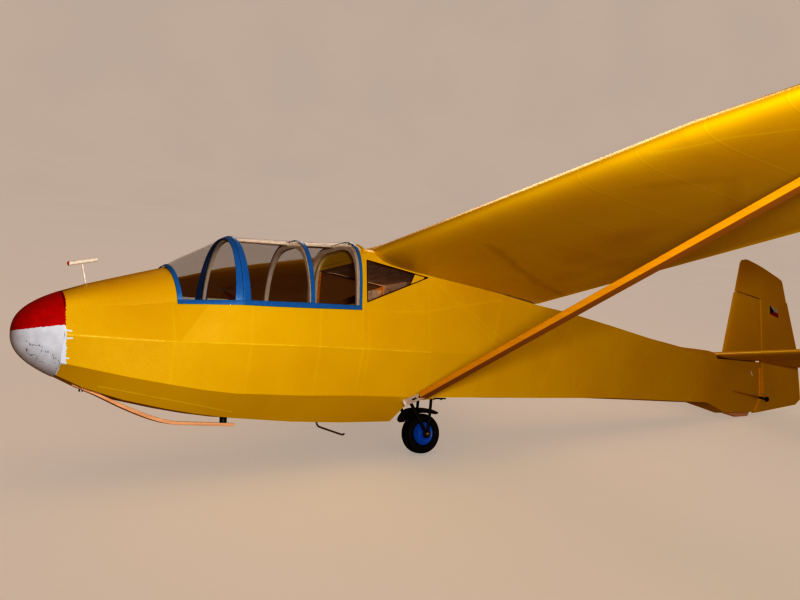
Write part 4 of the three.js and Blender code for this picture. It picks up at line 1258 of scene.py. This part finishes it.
def bent_wire(name, points, radius, finish_of, replaces, steps=6, sides=14):
    """A wire bent in one upright plane through the given points."""
    run = run_through(points, steps)
    aside = Vector((1, 0, 0))
    rings = []
    for k, p in enumerate(run):
        along = (run[min(k + 1, len(run) - 1)] - run[max(k - 1, 0)]).normalized()
        up = along.cross(aside).normalized()
        rings.append([
            p + radius * (math.cos(2 * math.pi * j / sides) * aside + math.sin(2 * math.pi * j / sides) * up)
            for j in range(sides)
        ])
    bm = lofted(rings, 0.3, 60)
    placed(bm, name, "glider", [finish_of], replaces, 50)


TOW_HOOK = [
    (0, 331, -82.5), (0, 331.8, -85), (0, 333.6, -87.3), (0, 337, -88.8), (0, 352, -93.2),
    (0, 364, -96.7), (0, 366.6, -97), (0, 368.4, -95.8),
]
bent_wire("tow_wire", TOW_HOOK, 1.0, drawn_steel, ["tow_hook"])

# Pitot
for name, start, end, radius in (
    ("post", (0, 65.8, 52.4), (0, 61.4, 71), 1.1),
    ("tube", (0, 47.5, 70), (0, 75.4, 77.4), 2.1),
):
    bm = rod(start, end, radius, 24, ease=0.5)
    placed(bm, "pitot_dowel_" + name, "glider", [pitot_white], ["pitot_" + name], 40)


# Small fittings

def pin(name, body, place, out, radius, height, finish_of, sides=16):
    """A domed pin or screw head, standing out along the given direction."""
    place, out = Vector(place), Vector(out).normalized()
    ease = min(radius, height) * 0.45
    bm = rod(place - out * 0.3, place + out * height, radius, sides, radius * 0.7, ease=ease)
    placed(bm, name, body, [finish_of])


FAIRING = [(354, 55, 123.4, 3.4), (362, 53.4, 119.6, 3.2), (370, 51.8, 119.4, 3), (382, 51.2, 119, 3)]
BODY_PINS = [(357.3, 112.9), (363, 109.2), (373.5, 113.1)]


def fairing_x(y, z):
    _, half, crown, power = between(FAIRING, y)
    angle = math.asin(((z - 105) / (crown - 105)) ** (power / 2))
    return half * math.cos(angle) ** (2 / power)


for k, (y, z) in enumerate(BODY_PINS):
    for name, side in BOTH:
        at, out = (side * fairing_x(y, z), y, z), (side, 0, 0.3)
        pin(f"film_pin_{name}_{k}", "glider", at, out, 1.3, 1.0, bright_yellow)

mudguard()
gear_plate()
skid()

# Strut feet: a slot and a bolt on each face, and an aluminium tab across the inner end
CORNERS = ((1, 1), (1, -1), (-1, -1), (-1, 1))
for name, side in SIDES:
    foot = Vector((side * 44.4, 422.5, -58.4))
    head = Vector((side * 73.6, 428.4, -49.4))
    along = (head - foot).normalized()
    wide = Vector((0, -0.5, 0.85))
    wide = (wide - along * wide.dot(along)).normalized()
    face = along.cross(wide) * side
    for word, out in (("outer", 1), ("inner", -1)):
        middle = foot + along * 17 + face * 0.8 * out
        ends = [middle - along * 3.4, middle + along * 3.4]
        bm = lofted([[p + wide * 0.9 * a + face * 0.12 * b for a, b in CORNERS] for p in ends])
        placed(bm, f"strut_slot_{word}_{name}", "glider", [black_nylon])
        bolt = foot + along * 26 + face * 0.7 * out
        pin(f"strut_bolt_{word}_{name}", "glider", bolt, face * out, 1.7, 1.2, drawn_steel)
    tab_foot = foot + along * 0.8
    tab = [tab_foot - wide * 3.2, tab_foot + wide * 3.2]
    bm = lofted([[p + along * 0.7 * a + face * (2.6 * b + 0.6) for a, b in CORNERS] for p in tab], 0.25)
    placed(bm, "strut_tab_" + name, "glider", [sheet_aluminium])

# A strip of film over the rudder's hinge line on the stern, and the small patch on the rudder
HINGE_STRIP = [(15, 1166.5, 1175.6), (-30, 1166.5, 1175.6), (-39.8, 1162, 1167.6), (-57, 1148, 1153.4)]
STERN_SIDE = [(1120, 6.4, 10.6), (1176, 3.6, 4.4)]


def stern_x(y, z):
    _, low, high = between(STERN_SIDE, y)
    return low + (high - low) * min(1, max(0, (z + 57.4) / 81.4))


def rudder_x(y):
    return 3.9 - 3.75 * ((y - 1177) / 86 - 0.2)


for name, side in BOTH:
    rings = []
    for z, front, rear in HINGE_STRIP:
        ends = [(front, stern_x(front, z)), (rear, stern_x(rear, z))]
        outer = [(side * (x + 0.5), y, z) for y, x in ends]
        inner = [(side * (x - 0.3), y, z) for y, x in ends]
        rings.append(outer + inner[::-1])
    placed(lofted(rings), "hinge_strip_" + name, "glider", [bright_yellow])
    (y0, y1), (low, high), drop = PATCH["y"], PATCH["z"], PATCH["drop"]
    rings = []
    for y in stops(y0, y1, 4):
        fall = drop * (y - y0)
        outer, inner = side * (rudder_x(y) + 0.12), side * (rudder_x(y) - 0.3)
        corners = ((outer, low), (outer, high), (inner, high), (inner, low))
        rings.append([(x, y, z - fall) for x, z in corners])
    placed(lofted(rings), "patch_" + name, "rudder", [patch_decal])

# Window surround: a thin dark line round each triangular pane
WINDOW = [(359.3, 101.6), PHOTO_TIP, (359.3, 53.2)]
CENTRE_SIDE = [(354, 64.4, -0.5, 55.5, 108), (377.6, 63.6, 0, 52.6, 108), (448, 60.5, 1, 51.4, 99)]


def side_x(y, z):
    _, low_x, low_z, high_x, high_z = between(CENTRE_SIDE, y)
    return low_x + (high_x - low_x) * (z - low_z) / (high_z - low_z)


for name, side in SIDES:
    bm = bmesh.new()
    for a, b in zip(WINDOW, WINDOW[1:] + WINDOW[:1]):
        a, b = Vector((0, *a)), Vector((0, *b))
        along = (b - a).normalized()
        inward = Vector((0, 387, 82)) - (a + b) / 2
        inward = (inward - along * inward.dot(along)).normalized()
        rings = []
        for p in (a, b):
            ring = []
            for step, depth in ((-0.35, -0.2), (0.6, -0.2), (0.6, 0.8), (-0.35, 0.8)):
                q = p + inward * step
                ring.append((side * (side_x(q.y, q.z) - depth), q.y, q.z))
            rings.append(ring)
        loft(bm, rings)
    bmesh.ops.recalc_face_normals(bm, faces=bm.faces)
    placed(bm, "window_edge_" + name, "glider", [dark_pane_edging])

# Camera, at the photograph's place and angle
FOCAL_MM = 38.97
CAMERA_PLACE = Vector((887.84, -144.70, -62.42))
CAMERA_RIGHT = Vector((0.5537, 0.8325, 0.0223))
CAMERA_UP = Vector((0.0889, -0.0858, 0.9923))


def camera():
    right = (TURN.to_3x3() @ CAMERA_RIGHT).normalized()
    up = TURN.to_3x3() @ CAMERA_UP
    up = (up - right * up.dot(right)).normalized()
    back = right.cross(up)
    made = bpy.data.objects.new("camera", bpy.data.cameras.new("camera"))
    made.data.lens = FOCAL_MM
    made.data.sensor_width = 36
    made.data.clip_start = 0.01
    made.data.clip_end = 100
    turn = Matrix((right, up, back)).transposed().to_4x4()
    made.matrix_world = Matrix.Translation(OWN @ CAMERA_PLACE) @ turn
    bpy.context.scene.collection.objects.link(made)
    bpy.context.scene.camera = made
    return made


def soft_light(name, place, target, size, watts, colour):
    made = bpy.data.objects.new(name, bpy.data.lights.new(name, "AREA"))
    made.data.shape = "DISK"
    made.data.size = size
    made.data.energy = watts
    made.data.color = linear(colour)[:3]
    made.location = place
    made.rotation_euler = (Vector(target) - Vector(place)).to_track_quat("-Z", "Y").to_euler()
    bpy.context.scene.collection.objects.link(made)
    return made


def backdrop():
    """The pale floor and the wall it runs up into all round: seen, but it neither lights nor mirrors."""
    bm = bmesh.new()
    profile = [(r, 0, z) for r, z in BACKDROP]
    turned_round = [Matrix.Rotation(2 * math.pi * i / BACKDROP_STEPS, 4, "Z") for i in range(BACKDROP_STEPS)]
    rings = [[bm.verts.new(turn @ Vector(p)) for p in profile[1:]] for turn in turned_round]
    middle = bm.verts.new(profile[0])
    for ring, following in zip(rings, rings[1:] + rings[:1]):
        bm.faces.new((middle, ring[0], following[0]))
        for i in range(len(ring) - 1):
            bm.faces.new((ring[i], ring[i + 1], following[i + 1], following[i]))
    mesh = bpy.data.meshes.new("floor")
    bm.to_mesh(mesh)
    bm.free()
    for face in mesh.polygons:
        face.use_smooth = True
    floor = bpy.data.objects.new("floor", mesh)
    bpy.context.scene.collection.objects.link(floor)
    tree, _ = fresh("matt_floor")
    here = add(tree, "TexCoord", {}, out="Object")
    grit = noise(tree, here, 0.6, detail=3)
    colour = toned(tree, grit, FLOOR_LIGHT, FLOOR_DARK)
    glow = {"Emission Color": linear(FLOOR_LIGHT), "Emission Strength": FLOOR_GLOW}
    mesh.materials.append(finish("matt_floor", colour, 0.8, **glow))
    floor.visible_diffuse = False
    floor.visible_glossy = False
    floor.visible_shadow = False
    return floor


def studio(eye):
    """The backdrop, a small lamp by the camera, two large ones, and a dim warm room."""
    floor = backdrop()
    place = eye @ Vector(LAMP_OFFSET)
    flash = soft_light("lamp_by_camera", place, (0, -0.15, 0.25), LAMP_SIZE, LAMP_WATTS, "#FFFDF8")
    unlit = bpy.data.collections.new("lit_from_above_only")
    unlit.objects.link(floor)
    unlit.collection_objects[0].light_linking.link_state = "EXCLUDE"
    soft_light("lamp_overhead", OVERHEAD_PLACE, (0, 0, 0), 2.2, OVERHEAD_WATTS, "#FFC890")
    across = soft_light("lamp_starboard", STARBOARD_PLACE, (0, 0, 0.25), 1.6, STARBOARD_WATTS, "#FFE8D0")
    for lamp in (flash, across):
        lamp.light_linking.receiver_collection = unlit
    world = bpy.data.worlds.new("room")
    world.use_nodes = True
    world.node_tree.nodes["Background"].inputs["Color"].default_value = linear(ROOM_COLOUR)
    world.node_tree.nodes["Background"].inputs["Strength"].default_value = ROOM_STRENGTH
    bpy.context.scene.world = world
    view = bpy.context.scene.view_settings
    view.view_transform = "Standard"
    view.look = VIEW_LOOK
    view.exposure = VIEW_EXPOSURE
    view.gamma = VIEW_GAMMA


# The backdrop's profile is given as radius and height in metres. The lights and the view were set by
# trial, against colours read at places in the photograph.
BACKDROP = [(0, 0), (3, 0), (4.2, 0.02), (5, 0.25), (5.6, 0.8), (6, 2), (6.1, 5), (5.2, 8), (0.1, 9.4)]
BACKDROP_STEPS = 64
FLOOR_LIGHT, FLOOR_DARK = "#DCD8D2", "#D2CEC7"
FLOOR_GLOW = 0.34
LAMP_OFFSET = (0.1, 0.08, 0.04)  # to the right of the lens, above it, and behind it
LAMP_SIZE = 0.14
LAMP_WATTS = 5.1
OVERHEAD_WATTS = 2.5
STARBOARD_WATTS = 16
OVERHEAD_PLACE = (0.3, -0.4, 2.6)
STARBOARD_PLACE = (-1.9, 0.9, 1.6)
ROOM_COLOUR = "#EDB894"
ROOM_STRENGTH = 0.155
VIEW_LOOK = "Very High Contrast"
VIEW_EXPOSURE = 0.18
VIEW_GAMMA = 0.9

studio(camera().matrix_world.copy())
